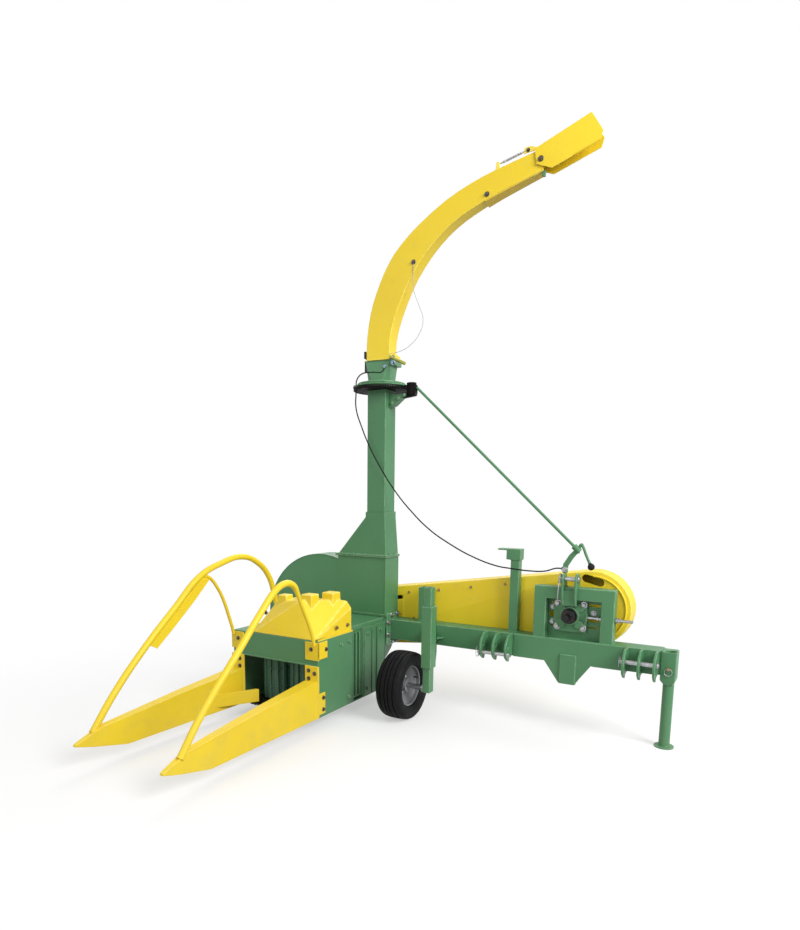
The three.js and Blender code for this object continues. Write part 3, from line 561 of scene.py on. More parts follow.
def linch_pin(name, x, pin, z):
    """A short upright pin through a cross pin's right end, with its spring ring folded over the shaft."""
    place = Vector((beam_face + x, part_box(pin)[0].y + 0.007, z))
    half = Vector((0, 0, 0.026))
    ring = [place + Vector((0.030 * c, -0.006, 0.030 * s)) for c, s in turns(24)]
    parts = [tube(name, [place - half, place + half], 0.0045, sides=8), tube(name, ring, 0.0018, sides=8)]
    return own(joined(parts, name), *bright_on_frame)


linch_pin("linch_pin_left", 0.075, "hitch_pin_left", 0.457)
linch_pin("linch_pin_right", 0.093, "hitch_pin_right", 0.412)

# ---------- drive frame ----------
# A gate of 70 mm square tube stands on the beam round the drive shaft. The bearing plate bolts against a
# slotted sheet that closes the gate's window; the slots and the long adjusting screw tighten the belts.
fabricated("bearing_frame", 0.005, *on_frame)
fabricated("bearing_plate", 0.0025, *on_frame)
gate_low, gate_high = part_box("bearing_frame")
weld("gate_welds", [
    [Vector((gate_high.x + 0.0005, y0, gate_low.z)), Vector((gate_high.x + 0.0005, y1, gate_low.z))]
    for y0, y1 in ((gate_low.y, gate_low.y + 0.07), (gate_high.y - 0.07, gate_high.y))] + [
    [Vector((gate_low.x, y, gate_low.z)), Vector((gate_high.x, y, gate_low.z))]
    for y in (gate_low.y, gate_low.y + 0.07, gate_high.y - 0.07, gate_high.y)],
    0.0045, *seam_on_frame)
plate_x, shaft_z = -0.040, 0.655
fasteners("bearing_bolts", spots((1, 0, 0), *((plate_x, y, shaft_z + z) for y in (-0.072, 0.072)
                                              for z in (-0.066, 0.066))), 0.021, *bright_on_frame)


def round_bar(name, start, end, radius, vertices=24):
    """A turned bar between two points."""
    length = (end - start).length
    bpy.ops.mesh.primitive_cylinder_add(vertices=vertices, radius=radius, depth=length)
    bar = bpy.context.object
    bar.name = name
    bar.data.transform(Matrix.Translation((start + end) / 2) @ toward(end - start))
    return bar


black_steel = (0.022, 0.022, 0.024)


def oiled(name, colour):
    """Dark steel with a film of oil and a brown haze."""
    material, tree, shader = plain_material(name, colour, 0.4, 0.75)
    haze = remap(tree, noise(tree, 22, 7), 0.48, 0.72, 0.0, 0.55)
    tree.links.new(mix(tree, haze, colour, (0.075, 0.045, 0.028)), shader.inputs["Base Color"])
    tree.links.new(remap(tree, noise(tree, 40, 5), 0.3, 0.7, 0.28, 0.55), shader.inputs["Roughness"])
    roughen(tree, shader, noise(tree, 160, 4), 0.2, 0.0005)
    return material


dark_steel = oiled("oiled_steel", black_steel)
dark_on_frame = (dark_steel, "frame", "dark_steel")


def flat_outline(name, points):
    """A flat face with the given corners, in order round it."""
    bpy.ops.mesh.primitive_circle_add(vertices=len(points), radius=1)
    sheet = bpy.context.object
    sheet.name = name
    for corner, point in zip(sheet.data.vertices, points):
        corner.co = point
    edit(sheet)
    bpy.ops.mesh.edge_face_add()
    close_edit()
    return sheet


def cut_plate(name, points, thickness):
    """A plate cut to an outline and given its thickness by a push along one direction."""
    plate = flat_outline(name, points)
    edit(plate)
    bpy.ops.mesh.extrude_region_move(TRANSFORM_OT_translate={"value": tuple(thickness)})
    bpy.ops.mesh.select_all(action="SELECT")
    bpy.ops.mesh.normals_make_consistent(inside=False)
    close_edit()
    return plate


def cut_away(piece, cutter):
    """The cutter's shape is taken out of the piece, and the cutter goes."""
    only(piece)
    cut = piece.modifiers.new("cut", "BOOLEAN")
    cut.operation = "DIFFERENCE"
    cut.solver = "EXACT"
    cut.object = cutter
    bpy.ops.object.modifier_apply(modifier="cut")
    bpy.data.objects.remove(cutter)


def tapered(name, places, radius, length):
    """A slot-shaped cutter with round ends along +X, between two places."""
    outline = []
    start, end = places
    lie = (end - start).normalized()
    side = Vector((0, -lie.z, lie.y))
    for centre, turn0 in ((end, -0.5), (start, 0.5)):
        for k in range(9):
            turn = math.pi * (turn0 + k / 8)
            outline.append(centre + radius * (math.cos(turn) * lie + math.sin(turn) * side))
    return cut_plate(name, outline, (length, 0, 0))


# the plate behind the bearing fills the window, with slots in which the bearing's bolts slide
backing = boxed("gate_backing", at(-0.066, -0.1295, 0.5195), at(-0.060, 0.1715, 0.7475))
for y0, y1, z, half in ((-0.110, -0.104, 0.652, 0.017), (0.104, 0.152, 0.718, 0.007), (0.098, 0.150, 0.634, 0.009),
                        (0.098, 0.150, 0.594, 0.004), (-0.110, -0.090, 0.718, 0.005), (-0.110, -0.090, 0.590, 0.005)):
    cut_away(backing, tapered("slot", (at(-0.09, y0, z), at(-0.09, y1, z)), half, 0.06))
cut_away(backing, round_bar("shaft_hole", at(-0.09, 0, shaft_z), at(-0.03, 0, shaft_z), 0.050, 40))
rounded(own(backing, *on_frame), 0.001, 1)
fasteners("backing_bolts", spots((1, 0, 0), (-0.060, 0.122, 0.676), (-0.060, -0.107, 0.695),
                                 (-0.060, -0.107, 0.610)), 0.017, *bright_on_frame)
# four raised corner ears and a dark seal round the shaft complete the cast bearing housing
for k, (y, z) in enumerate(((-0.05, -0.047), (-0.05, 0.047), (0.05, -0.047), (0.05, 0.047))):
    ear = round_bar(f"bearing_ear_{k}", at(plate_x - 0.001, y, shaft_z + z),
                    at(plate_x + 0.012, y * 1.02, shaft_z + z * 1.02), 0.024)
    rounded(own(ear, *on_frame), 0.003)
seal = round_bar("bearing_seal", at(-0.018, 0, shaft_z), at(-0.012, 0, shaft_z), 0.044, 40)
rounded(own(seal, *dark_on_frame), 0.0015, 1)

# the adjusting screw through the gate's left member, its nuts, and the screw inside the window
screw_z = 0.652
parts = [round_bar("belt_adjuster", at(-0.035, 0.086, screw_z), at(-0.035, 0.335, screw_z), 0.008, 16)]
for y0, y1 in ((0.146, 0.158), (0.1605, 0.171), (0.2432, 0.256), (0.257, 0.268)):
    parts.append(round_bar("nut", at(-0.035, y0, screw_z), at(-0.035, y1, screw_z), 0.0145, 6))
rounded(own(joined(parts, "belt_adjuster"), *bright_on_frame), 0.001, 1, 50)
lug = boxed("adjuster_lug", at(-0.053, 0.088, 0.634), at(-0.018, 0.096, 0.672))
rounded(own(lug, *on_frame), 0.002)

# ---------- drive shaft ----------
# The tractor's cardan shaft slips onto this splined stub, 35 mm across. Its collar is black with grease.
shaft_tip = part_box("pto_shaft")[1].x
spline_root, spline_top, spline_count, spline_start = 0.0145, 0.0174, 21, 0.024


def toothed(count, root, top, shares):
    """Corners of a toothed outline round its middle. Each tooth has a root, two top and a root corner."""
    angles = [2 * math.pi * (tooth + share) / count for tooth in range(count) for share in shares]
    radii = (root, top, top, root) * count
    return [(radius * math.cos(angle), radius * math.sin(angle)) for angle, radius in zip(angles, radii)]


outline = [at(spline_start, y, shaft_z + z)
           for y, z in toothed(spline_count, spline_root, spline_top, (0.0, 0.18, 0.5, 0.68))]
rounds = [cut_plate("splines", outline, (shaft_tip - spline_start - beam_face, 0, 0))]
for name, x0, x1, radius, facets in (("collar", -0.0105, 0.0215, 0.0375, 40), ("sleeve", -0.110, -0.0105, 0.0172, 32),
                                     ("hub", 0.0215, 0.026, 0.024, 32)):
    rounds.append(round_bar(name, at(x0, 0, shaft_z), at(x1, 0, shaft_z), radius, facets))
shaft = rounded(own(joined(rounds, "splined_shaft"), dark_steel, "pto_shaft", "dark_steel"), 0.001, 1, 45)
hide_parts("pto_shaft")

# ---------- top link clevis ----------
# Two cheeks burnt from 12 mm plate over the gate, with the top link's plated pin, its retaining linch pin
# and the bright hanging strap of the linch pin.
fabricated("top_link_clevis", 0.0025, *on_frame)
fabricated("top_link_pin", 0.0015, (zinc_plate, zinc_plate), "frame", "zinc_plate", angle=35)
linch_pin("top_linch_pin", 0.005, "top_link_pin", 0.866)
strap_line = [at(0.012, -0.046, 0.872), at(0.040, -0.050, 0.846), at(0.048, -0.052, 0.800), at(0.040, -0.056, 0.752)]
own(tube("linch_strap", strap_line, 0.0032, smooth=True, sides=8), *bright_on_frame)
weld("clevis_welds", [[at(-0.057, y, 0.8185), at(0.0, y, 0.8185)] for y in (-0.043, -0.029, 0.029, 0.043)],
     0.0035, *seam_on_frame)

# ---------- crank ----------
# A bent flat bar holds the long rod that turns the spout's worm. The hand crank ends in a black ball grip.
fabricated("crank_support", 0.002, *on_frame)
fabricated("crank_rod", 0.001, *on_frame, angle=50)
crank_line = [at(-0.015, y, z) for y, z in ((0.030, 1.008), (0.036, 1.030), (0.040, 1.052), (0.046, 1.057),
                                            (0.054, 1.046), (0.075, 0.998), (0.100, 0.945))]
handle = own(tube("hand_crank", crank_line, 0.0075, smooth=True, sides=16), *seam_on_frame)
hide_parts("crank_handle")
grip_centre = at(-0.015, 0.104, 0.937)


def turned(name, profile, start, axis, steps=48):
    """A lathe-turned shape: a profile of (distance along the axis, radius) spun about it."""
    bpy.ops.mesh.primitive_circle_add(vertices=len(profile), radius=1)
    shape = bpy.context.object
    shape.name = name
    for corner, (along, radius) in zip(shape.data.vertices, profile):
        corner.co = (radius, 0, along)
    edit(shape)
    bpy.ops.mesh.spin(steps=steps, angle=2 * math.pi, center=(0, 0, 0), axis=(0, 0, 1))
    bpy.ops.mesh.select_all(action="SELECT")
    bpy.ops.mesh.remove_doubles(threshold=0.00002)
    bpy.ops.mesh.normals_make_consistent(inside=False)
    close_edit()
    shape.data.transform(Matrix.Translation(start) @ toward(axis))
    bpy.ops.object.shade_smooth_by_angle(angle=math.radians(35))
    return shape


grip_rubber = rubber("grip_plastic", (0.015, 0.015, 0.016), 120)
grip_axis = (crank_line[-1] - crank_line[-2]).normalized()
ball = [(-0.019 * c, max(0.019 * s, 0.0001)) for c, s in turns(14, 0, 180)]
ball[:3] = [(-0.0225, 0.0001), (-0.0225, 0.0085), (-0.0165, 0.0095)]
own(turned("crank_grip", ball, grip_centre, grip_axis, 28), grip_rubber, "frame")
fasteners("crank_bolts", spots((1, 0, 0), (-0.0085, -0.036, 0.915)), 0.016, *bright_on_frame)

# ---------- wheel and its strut ----------
# A ribbed implement tyre on a pressed steel disc with five nuts. The axle is welded to a square strut that
# slides in a sleeve, and a gusseted arm carries the sleeve in front of the beam.
fabricated("wheel_bracket", 0.0035, *on_frame)
fabricated("wheel_strut", 0.004, *on_frame)
fabricated("wheel_axle", 0.0015, (zinc_plate, zinc_plate), "frame", "zinc_plate", angle=35)
sleeve_x, sleeve_y = 0.310, -0.709
arm_low, arm_high = 0.4255, 0.4855
weld("arm_welds", [[at(x, y0, z0), at(x, y1, z1)] for x, y0, z0, y1, z1 in (
    (0.0015, -0.900, arm_low, -0.832, arm_low), (0.0015, -0.900, arm_high, -0.832, arm_high),
    (0.0015, -0.832, arm_low, -0.832, arm_high),
    (sleeve_x - 0.0365, sleeve_y + 0.031, arm_high, sleeve_y - 0.031, arm_high))], 0.0045, *seam_on_frame)
fasteners("sleeve_bolts", spots((-1, 0, 0), *((sleeve_x - 0.0353, sleeve_y, z) for z in (0.385, 0.640))),
          0.019, *bright_on_frame)
# a folded gusset fills the corner between the arm and the sleeve
gusset = cut_plate("arm_gusset", [at(x, y, 0.440) for x, y in ((0.001, -0.832), (0.090, -0.790), (0.001, -0.760))],
                   (0, 0, 0.008))
rounded(own(gusset, *on_frame), 0.002, 1)

wheel_centre = at(0.310, -0.876, 0.203)
tyre_half = [(53, 120.4), (58, 122), (66, 129), (71, 136), (74, 141), (74.4, 143.2), (76.8, 145), (78.4, 155),
             (79, 163), (78.6, 171), (77.2, 172), (77.2, 175), (78, 176.5), (76.5, 183), (73.5, 188.5), (69, 193.5),
             (62, 197.2), (52, 199.8), (45, 200.9), (43.5, 194.5), (38.5, 194.5), (37, 201.6), (15, 202.6),
             (13.5, 195.5), (8.5, 195.5), (7, 202.8)]
tyre_profile = [(a / 1000, r / 1000) for a, r in tyre_half + [(-a, r) for a, r in reversed(tyre_half)]]
tyre_rubber = rubber("tyre_rubber", (0.005, 0.005, 0.006), 90)
tyre = own(turned("ribbed_tyre", tyre_profile, wheel_centre, (0, 1, 0), 72), tyre_rubber, "wheel", "tyre_rubber")
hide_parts("tyre")

rim_paint = enamel("rim_enamel", (0.20, 0.21, 0.22), (0.13, 0.14, 0.15))
rim_section = [(-53, 119.5), (-50, 115.2), (-30, 114.6), (30, 114.6), (50, 115.2), (53, 119.5), (53, 117.2),
               (50.4, 113), (32, 111.6), (26, 105), (21, 96), (16, 84), (7, 68), (4, 60), (4, 38), (34, 35.5), (34, 17),
               (-24, 17), (-24, 33.5), (-3, 36), (-3, 60), (2, 70), (10, 86), (14, 100), (8, 108), (0, 110.4),
               (-50, 112), (-53, 117.2)]
rim = turned("pressed_rim", [(a / 1000, r / 1000) for a, r in rim_section], wheel_centre, (0, 1, 0), 64)
own(rim, rim_paint, "wheel", "rim_paint")
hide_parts("rim")
stud_circle = 0.050
studs = [(wheel_centre + Vector((stud_circle * c, 0.004, stud_circle * s)), (0, 1, 0))
         for c, s in turns(4, 21.6, 309.6)]
fasteners("wheel_nuts", studs, 0.017, zinc_plate, "wheel", "zinc_plate")
valve_line = [wheel_centre + Vector((-0.098, 0.018, 0.028)), wheel_centre + Vector((-0.093, 0.050, 0.027))]
own(tube("tyre_valve", valve_line, 0.004, sides=8), tyre_rubber, "wheel", "tyre_rubber")

# ---------- parking leg ----------
# A 56 mm tube with a welded round foot. It slides in a block at the beam's end and is held there by a plated
# cross pin with a ring.
fabricated("leg_sleeve", 0.005, *on_frame)
fabricated("parking_leg", 0.002, green_finish, "parking_leg", "green_paint", angle=40)
foot_seam = [at(-0.027 + 0.0285 * c, 0.532 + 0.0285 * s, 0.0095) for c, s in turns(24)]
weld("foot_weld", [foot_seam], 0.0035, green_paint, "parking_leg", "green_paint")
cross_pin = round_bar("leg_pin", at(0.004, 0.530, 0.432), at(0.020, 0.530, 0.432), 0.009)
rounded(own(cross_pin, *brown_on_frame), 0.0015)
pin_ring = [at(0.014, 0.530 + 0.019 * s, 0.416 + 0.019 * c) for c, s in turns(24)]
own(tube("leg_pin_ring", pin_ring, 0.0022, sides=8), *bright_on_frame)
weld("sleeve_seam", [[at(-0.090, 0.492, 0.5215), at(0.0, 0.492, 0.5215)],
                     [at(0.0005, 0.4915, 0.395), at(0.0005, 0.4915, 0.52)]], 0.004, *seam_on_frame)

# ---------- belt guard ----------
# A pan pressed from 4 mm sheet over the two belt pulleys, sprayed yellow. The small end has the hand hole and
# a folded edge, the large end a rim band and an inspection hole, through which the dark pulley shows.
yellow = (0.90, 0.67, 0.026)
yellow_dark = (0.80, 0.56, 0.020)
# lighter yellow for the rounded edges: a painted highlight along them, patchy with rubbed wear
yellow_edge_highlight_and_wear = (0.93, 0.76, 0.14)
yellow_paint = enamel("yellow_enamel", yellow, yellow_dark)
yellow_edge = enamel("yellow_enamel_edge", yellow, yellow_dark, yellow_edge_highlight_and_wear)
yellow_finish = (yellow_paint, yellow_edge)
yellow_on_frame = (yellow_finish, "frame", "yellow_paint")
yellow_seam = (yellow_paint, "frame", "yellow_paint")
guard_face = -0.1183

guard = fabricated("belt_guard", 0.006, *yellow_on_frame, 3)
for name, y0, z0, y1, z1, radius in (("hand_hole", -1.159, 0.650, -1.132, 0.654, 0.013),
                                     ("inspection_hole", 0.055, 0.862, 0.135, 0.842, 0.022)):
    ends = (at(guard_face - 0.03, y0, z0), at(guard_face - 0.03, y1, z1))
    cut_away(guard, tapered(name, ends, radius, 0.06))
fabricated("belt_guard_back", 0.001, *yellow_on_frame)
fasteners("guard_bolts", spots((1, 0, 0), *((guard_face, y, z) for y, z in (
    (-1.074, 0.690), (-0.857, 0.722), (-0.639, 0.757), (-0.419, 0.792), (-1.035, 0.520), (-0.60, 0.505)))),
    0.010, *brown_on_frame)
# stiffening hoop welded on the large end's face, 3 cm inside the rim
hoop = [at(guard_face + 0.002, 0.095 + 0.186 * c, 0.690 + 0.186 * s) for c, s in turns(40, -48, 90)]
own(tube("guard_hoop", hoop, 0.0055, sides=12), *yellow_seam)
lap = cut_plate("guard_lap", [at(guard_face, y, z) for y, z in (
    (-1.124, 0.480), (-1.110, 0.480), (-1.110, 0.632), (-1.124, 0.632))], (0.004, 0, 0))
rounded(own(lap, *yellow_on_frame), 0.001, 1)
# the back lid: a pressed field to stiffen it, and the screws round its rim
lid_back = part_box("belt_guard_back")[0].x
far_end, near_end = at(0, -1.6670, 0.4680), at(0, 0.0950, 0.6900)
far_end.x = near_end.x = lid_back
up = Vector((0, near_end.y - far_end.y, near_end.z - far_end.z)).normalized()
up = Vector((0, -up.z, up.y))
field = tapered("guard_field", (far_end - Vector((0.004, 0, 0)), near_end - Vector((0.004, 0, 0))), 0.105, 0.0055)
rounded(own(field, *yellow_on_frame), 0.003, 2)
lid_screws = []
for k in range(9):
    middle = far_end.lerp(near_end, k / 8)
    reach = 0.1640 + 0.0350 * k / 8
    lid_screws += [(middle + sign * reach * up, (-1, 0, 0)) for sign in (-1, 1)]
for middle, sign, reach in ((far_end, -1, 0.1640), (near_end, 1, 0.1990)):
    lid_screws.append((middle + sign * reach * Vector((0, up.z, -up.y)), (-1, 0, 0)))
fasteners("lid_screws", lid_screws, 0.011, *bright_on_frame)
pulley = turned("belt_pulley", [(-0.030, 0.020), (-0.030, 0.168), (-0.020, 0.170), (-0.012, 0.158), (-0.004, 0.170),
                                (0.004, 0.158), (0.012, 0.170), (0.022, 0.168), (0.022, 0.150), (0.0, 0.145),
                                (0.0, 0.045), (0.024, 0.040), (0.024, 0.020)],
                at(-0.178, 0, shaft_z), (1, 0, 0), 56)
shaft_stub = round_bar("pulley_shaft", at(-0.206, 0, shaft_z), at(-0.104, 0, shaft_z), 0.0165)
for piece in (pulley, shaft_stub):
    own(piece, dark_steel, "pto_shaft", "dark_steel")

# ---------- header ----------
# The box that takes the row in, folded from 6 mm sheet: floor, two sides with a recessed panel, roof and a
# plate above the mouth. All seams are welded and sprayed green.
for node in ("head_floor", "head_side_left", "head_side_right", "head_roof", "head_front_plate"):
    fabricated(node, 0.0018, *on_frame)
left_face, right_face = -1.159, -1.790
head_sides = (("left", left_face, 1), ("right", right_face, -1))
panel_depth = 0.024


def strip(name, xs, ys, zs):
    """A squared block from its two ends in each direction, the ys in either order."""
    return boxed(name, at(xs[0], min(ys), zs[0]), at(xs[1], max(ys), zs[1]))


strips = []
for side, face, sign in head_sides:
    for root, x0, x1, z0, z1, lift in (
            (panel_depth, 0.330, 0.343, 0.105, 0.492, 0.020), (panel_depth, 0.364, 0.378, 0.105, 0.492, 0.018),
            (panel_depth, 0.314, 0.411, 0.092, 0.104, 0.016), (0, 0.140, 0.150, 0.085, 0.500, 0.008),
            (0, 0.200, 0.207, 0.085, 0.500, 0.006), (0, 0.290, 0.298, 0.085, 0.505, 0.006),
            (0, 0.418, 0.426, 0.085, 0.505, 0.004)):
        foot = face - sign * root
        strips.append(strip("rib", (x0, x1), (foot, foot + sign * lift), (z0, z1)))
strips.append(boxed("lip", at(0.7685, -1.7835, 0.368), at(0.7745, -1.1655, 0.378)))
rounded(own(joined(strips, "head_ribs"), *on_frame), 0.0015, 1)
weld("head_seams", [[at(x0, y, z0), at(x1, y, z1)] for x0, y, z0, x1, z1 in (
    (0.05, left_face - 0.0005, 0.0775, 0.766, 0.0775), (0.05, right_face + 0.0005, 0.0775, 0.766, 0.0775),
    (0.767, -1.1665, 0.369, 0.767, 0.511), (0.767, -1.7825, 0.369, 0.767, 0.511),
    (0.0475, left_face, 0.082, 0.0475, 0.51), (0.0475, right_face, 0.082, 0.0475, 0.51))], 0.0035, *seam_on_frame)
deck = boxed("deck", at(0.0465, right_face + 0.008, 0.5122), at(0.424, left_face - 0.008, 0.5395))
rounded(own(deck, *on_frame), 0.004)
panel_bolts = ((0.547, 0.455), (0.460, 0.455), (0.255, 0.470), (0.255, 0.120), (0.105, 0.470), (0.105, 0.130),
               (0.470, 0.120))
fasteners("head_bolts", [(at(x, face, z), (0, sign, 0)) for side, face, sign in head_sides for x, z in panel_bolts],
          0.015, *bolt_on_frame)

# ---------- feed drums and cutting discs ----------
# Upright ribbed steel drums, dark green with a painted bluish highlight on the rib edges, and below them two toothed
# steel discs with bright ground teeth.
drum_paint = enamel("drum_enamel", (0.040, 0.135, 0.082), (0.020, 0.075, 0.050))
# the lighter bluish green on the drums' rounded rib edges is a painted highlight
drum_rib_highlight = enamel("drum_rib_highlight", (0.075, 0.19, 0.15), (0.035, 0.11, 0.085))
disc_ground = plated("disc_ground", (0.42, 0.44, 0.48), (0.20, 0.21, 0.24))
row_middle = (left_face + right_face) / 2
for side, sign in (("left", 1), ("right", -1)):
    body = f"feed_drum_{side}"
    fabricated(body, 0.003, (drum_paint, drum_rib_highlight), body, "green_paint", angle=40)
    centre = at(0.600, row_middle + sign * 0.104, 0)
    plates = [round_bar("plate", centre + Vector((0, 0, z0)), centre + Vector((0, 0, z1)), radius, 48)
              for z0, z1, radius in ((0.3595, 0.366, 0.082), (0.366, 0.372, 0.040), (0.170, 0.176, 0.090),
                                     (0.280, 0.286, 0.090))]
    rounded(own(joined(plates, f"drum_plates_{side}"), (drum_paint, drum_rib_highlight), body, "green_paint"), 0.0015, 1)
    body = f"cutting_disc_{side}"
    fabricated(body, 0.0009, (dark_steel, disc_ground), body, "dark_steel", 1, 20)
    circle = [(0.690 + 0.040 * c, row_middle + sign * 0.124 + 0.040 * s, 0.090) for c, s in turns(3, 0, 270)]
    fasteners(f"disc_bolts_{side}", spots((0, 0, 1), *circle), 0.010, dark_steel, body, "dark_steel")

# ---------- gear cover ----------
# A cover pressed and welded from 5 mm sheet over the drums' gearbox, with three raised blocks over the gear
# shafts, sprayed yellow and screwed down through a narrow flange.
fabricated("gear_cover", 0.007, *yellow_on_frame, 3, 12)
fabricated("gearbox", 0.006, (dark_steel, dark_steel), "frame", "dark_steel")
flange = [strip("flange", xs, ys, (0.5123, 0.520)) for xs, ys in (
    ((0.420, 0.7675), (-1.1649, -1.1605)), ((0.420, 0.7675), (-1.645, -1.640)), ((0.418, 0.425), (-1.645, -1.1605)))]
own(joined(flange, "cover_flange"), *yellow_on_frame)
fasteners("cover_bolts", spots((0, 1, 0), *((x, -1.1652, 0.560) for x in (0.470, 0.580))) +
          spots((-1, 0, 0), *((0.425, y, 0.560) for y in (-1.25, -1.40, -1.55))),
          0.013, *brown_on_frame)

# ---------- rotor housing ----------
# The blower's scroll: a 10 mm back plate, a rolled band and a front plate, welded, with a bolted flange at
# its outlet and a strap round its front corner. Inside turns the dark six-bladed rotor.
fabricated("rotor_housing", 0.0025, *on_frame, 2, 25)
fabricated("rotor", 0.002, (dark_steel, disc_ground), "rotor", "dark_steel")
fabricated("skid_shoe", 0.002, (green_paint, disc_ground), "frame", "green_paint")
strap_height = (0.541, 0.557)
band = [strip("band", (0.0455, 0.0535), (-1.405, -1.1515), strap_height),
        strip("band", (-0.1175, 0.0535), (-1.1595, -1.1515), strap_height)]
rounded(own(joined(band, "housing_strap"), *on_frame), 0.002, 1)
rotor_y, rotor_z = -1.667, 0.468
back_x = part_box("rotor_housing")[0].x - beam_face + 0.001
outer_limit = cad_low.y - shaft_line + 0.0035
rim_runs = [[at(x, max(rotor_y + 0.4525 * c, outer_limit), rotor_z + 0.4525 * s) for c, s in turns(48, 73, 225)]
            for x in (0.0465, back_x)]
weld("housing_seams", rim_runs + [[at(0.0465, -1.1605, 0.565), at(0.0465, -1.1605, 0.918)],
                                  [at(-0.1185, -1.1605, 0.52), at(-0.1185, -1.1605, 0.918)]],
     0.0032, *seam_on_frame)
fasteners("outlet_bolts", spots((0, 0, 1), *((x, y, 0.9385) for x, y in (
    (0.0515, -1.490), (0.0515, -1.400), (0.0515, -1.310), (0.0515, -1.220), (0.010, -1.1525), (-0.060, -1.1525)))),
    0.0085, *bolt_on_frame)

# the housing's back wall unbolts for the knives: hexagon heads round its rim
rear_places = [(back_x - 0.001, rotor_y + 0.425 * c, rotor_z + 0.425 * s) for c, s in turns(9, 80, 260)]
fasteners("rear_bolts", spots((-1, 0, 0), *rear_places), 0.015, *bright_on_frame)

# ---------- hood and chute ----------
# The hood narrows from the housing's outlet to the square chute. The chute is a riveted 4 mm duct that stands
# in the hood's collar.
fabricated("chute_hood", 0.003, *on_frame, 2, 20)
fabricated("chute", 0.003, *on_frame)
chute_x0, chute_x1, chute_y0, chute_y1 = -0.080, 0.046, -1.300, -1.170
weld("hood_seams", [
    [at(0.0515, -1.298, 1.2105), at(0.0515, -1.165, 1.2105)], [at(0.05, -1.1645, 1.2105), at(-0.085, -1.1645, 1.2105)],
    [at(chute_x1, chute_y1, 1.9565), at(chute_x0, chute_y1, 1.9565)],
    [at(chute_x1, chute_y1, 1.9565), at(chute_x1, chute_y0, 1.9565)]], 0.003, *seam_on_frame)
seam = boxed("chute_seam", at(chute_x0 + 0.010, chute_y0 - 0.003, 1.22), at(chute_x0 + 0.034, chute_y0, 1.95))
rounded(own(seam, *on_frame), 0.001, 1)
rivets = [(chute_x0 + 0.022, chute_y0 - 0.003, 1.27 + 0.075 * k) for k in range(9)]
fasteners("chute_rivets", spots((0, -1, 0), *rivets), 0.009, *bolt_on_frame, sides=16)

# ---------- turntable ----------
# Two turned plates with the toothed worm wheel between them sit on the chute. The worm in its bracket drives
# the wheel from the crank rod. Gear and worm are dark with grease.
ring = fabricated("turntable_ring", 0.002, *on_frame, 2, 25)
ring_centre = at(-0.017, -1.235, 0)
groove = [(1.966, 0.166), (1.966, 0.190), (1.977, 0.190), (1.977, 0.166)]
cut_away(ring, turned("groove", groove, ring_centre, (0, 0, 1), 96))
# near-black for grease on the worm box, and for painted shade under the turntable ring
grease_and_shade = rubber("black_grease_and_shade", (0.006, 0.0055, 0.005), 60)
grease_and_shade.node_tree.nodes["Principled BSDF"].inputs["Specular IOR Level"].default_value = 0.08


def blacken_for_grease_and_shade(piece, chosen):
    """The chosen faces of a painted piece turn black: grease on the worm box, painted shade on the turntable ring's
    lower plate.
    """
    piece.data.materials.append(grease_and_shade)
    for face in piece.data.polygons:
        if chosen(face):
            face.material_index = len(piece.data.materials) - 1


# the ring's whole lower plate, below the worm wheel, is painted black: painted shade under the upper plate
blacken_for_grease_and_shade(ring, lambda face: face.center.z < 1.9665)
teeth = [ring_centre + Vector((x, y, 1.9662)) for x, y in toothed(96, 0.1655, 0.1735, (0.0, 0.22, 0.5, 0.72))]
own(cut_plate("worm_wheel", teeth, (0, 0, 0.0106)), *dark_on_frame)
worm_box = fabricated("worm_box", 0.003, *on_frame, 2, 35)
blacken_for_grease_and_shade(worm_box, lambda face: face.center.y > at(0, -1.056, 0).y)
cap = [(1.9935, 0.0001), (1.9935, 0.0235), (1.9900, 0.0265), (1.9800, 0.0270), (1.9800, 0.0001)]
own(turned("worm_cap", cap, at(-0.015, -1.022, 0), (0, 0, 1), 28), *dark_on_frame)
stub = round_bar("worm_stub", at(-0.015, -1.000, 1.925), at(-0.015, -0.988, 1.925), 0.014, 6)
rounded(own(stub, *dark_on_frame), 0.001, 1)
fasteners("worm_bolts", spots((1, 0, 0), (0.0052, -1.145, 1.880), (0.0052, -1.100, 1.905), (0.0052, -1.060, 1.9215)),
          0.0125, *bolt_on_frame)
clip = boxed("cable_clip", at(0.070, -1.374, 1.9575), at(0.094, -1.350, 1.9905))
jaw = round_bar("jaw", at(0.060, -1.362, 1.974), at(0.104, -1.362, 1.974), 0.009, 16)
rounded(own(joined([clip, jaw], "cable_clip"), *dark_on_frame), 0.002)

# ---------- turning collar ----------
# The duct's turning part: a round flange on the ring, an eight-sided neck that widens to the spout's square
# foot, and two ears for the hinge. A toggle latch on the back holds the spout upright.
fabricated("swivel_collar", 0.0025, green_finish, "swivel", "green_paint", 2, 25)
spout_heading = math.radians(98)
along_spout = Vector((math.cos(spout_heading), math.sin(spout_heading), 0))
across_spout = Vector((-along_spout.y, along_spout.x, 0))


def over(s, t, z):
    """A place above the turntable: outwards along the spout, across it, and up, in metres."""
    return ring_centre + s * along_spout + t * across_spout + Vector((0, 0, z))


def slab(name, low, high):
    """A squared block whose sides lie along and across the spout."""
    block = boxed(name, low, high)
    block.data.transform(Matrix.Translation(ring_centre) @ Matrix.Rotation(spout_heading, 4, "Z"))
    return block


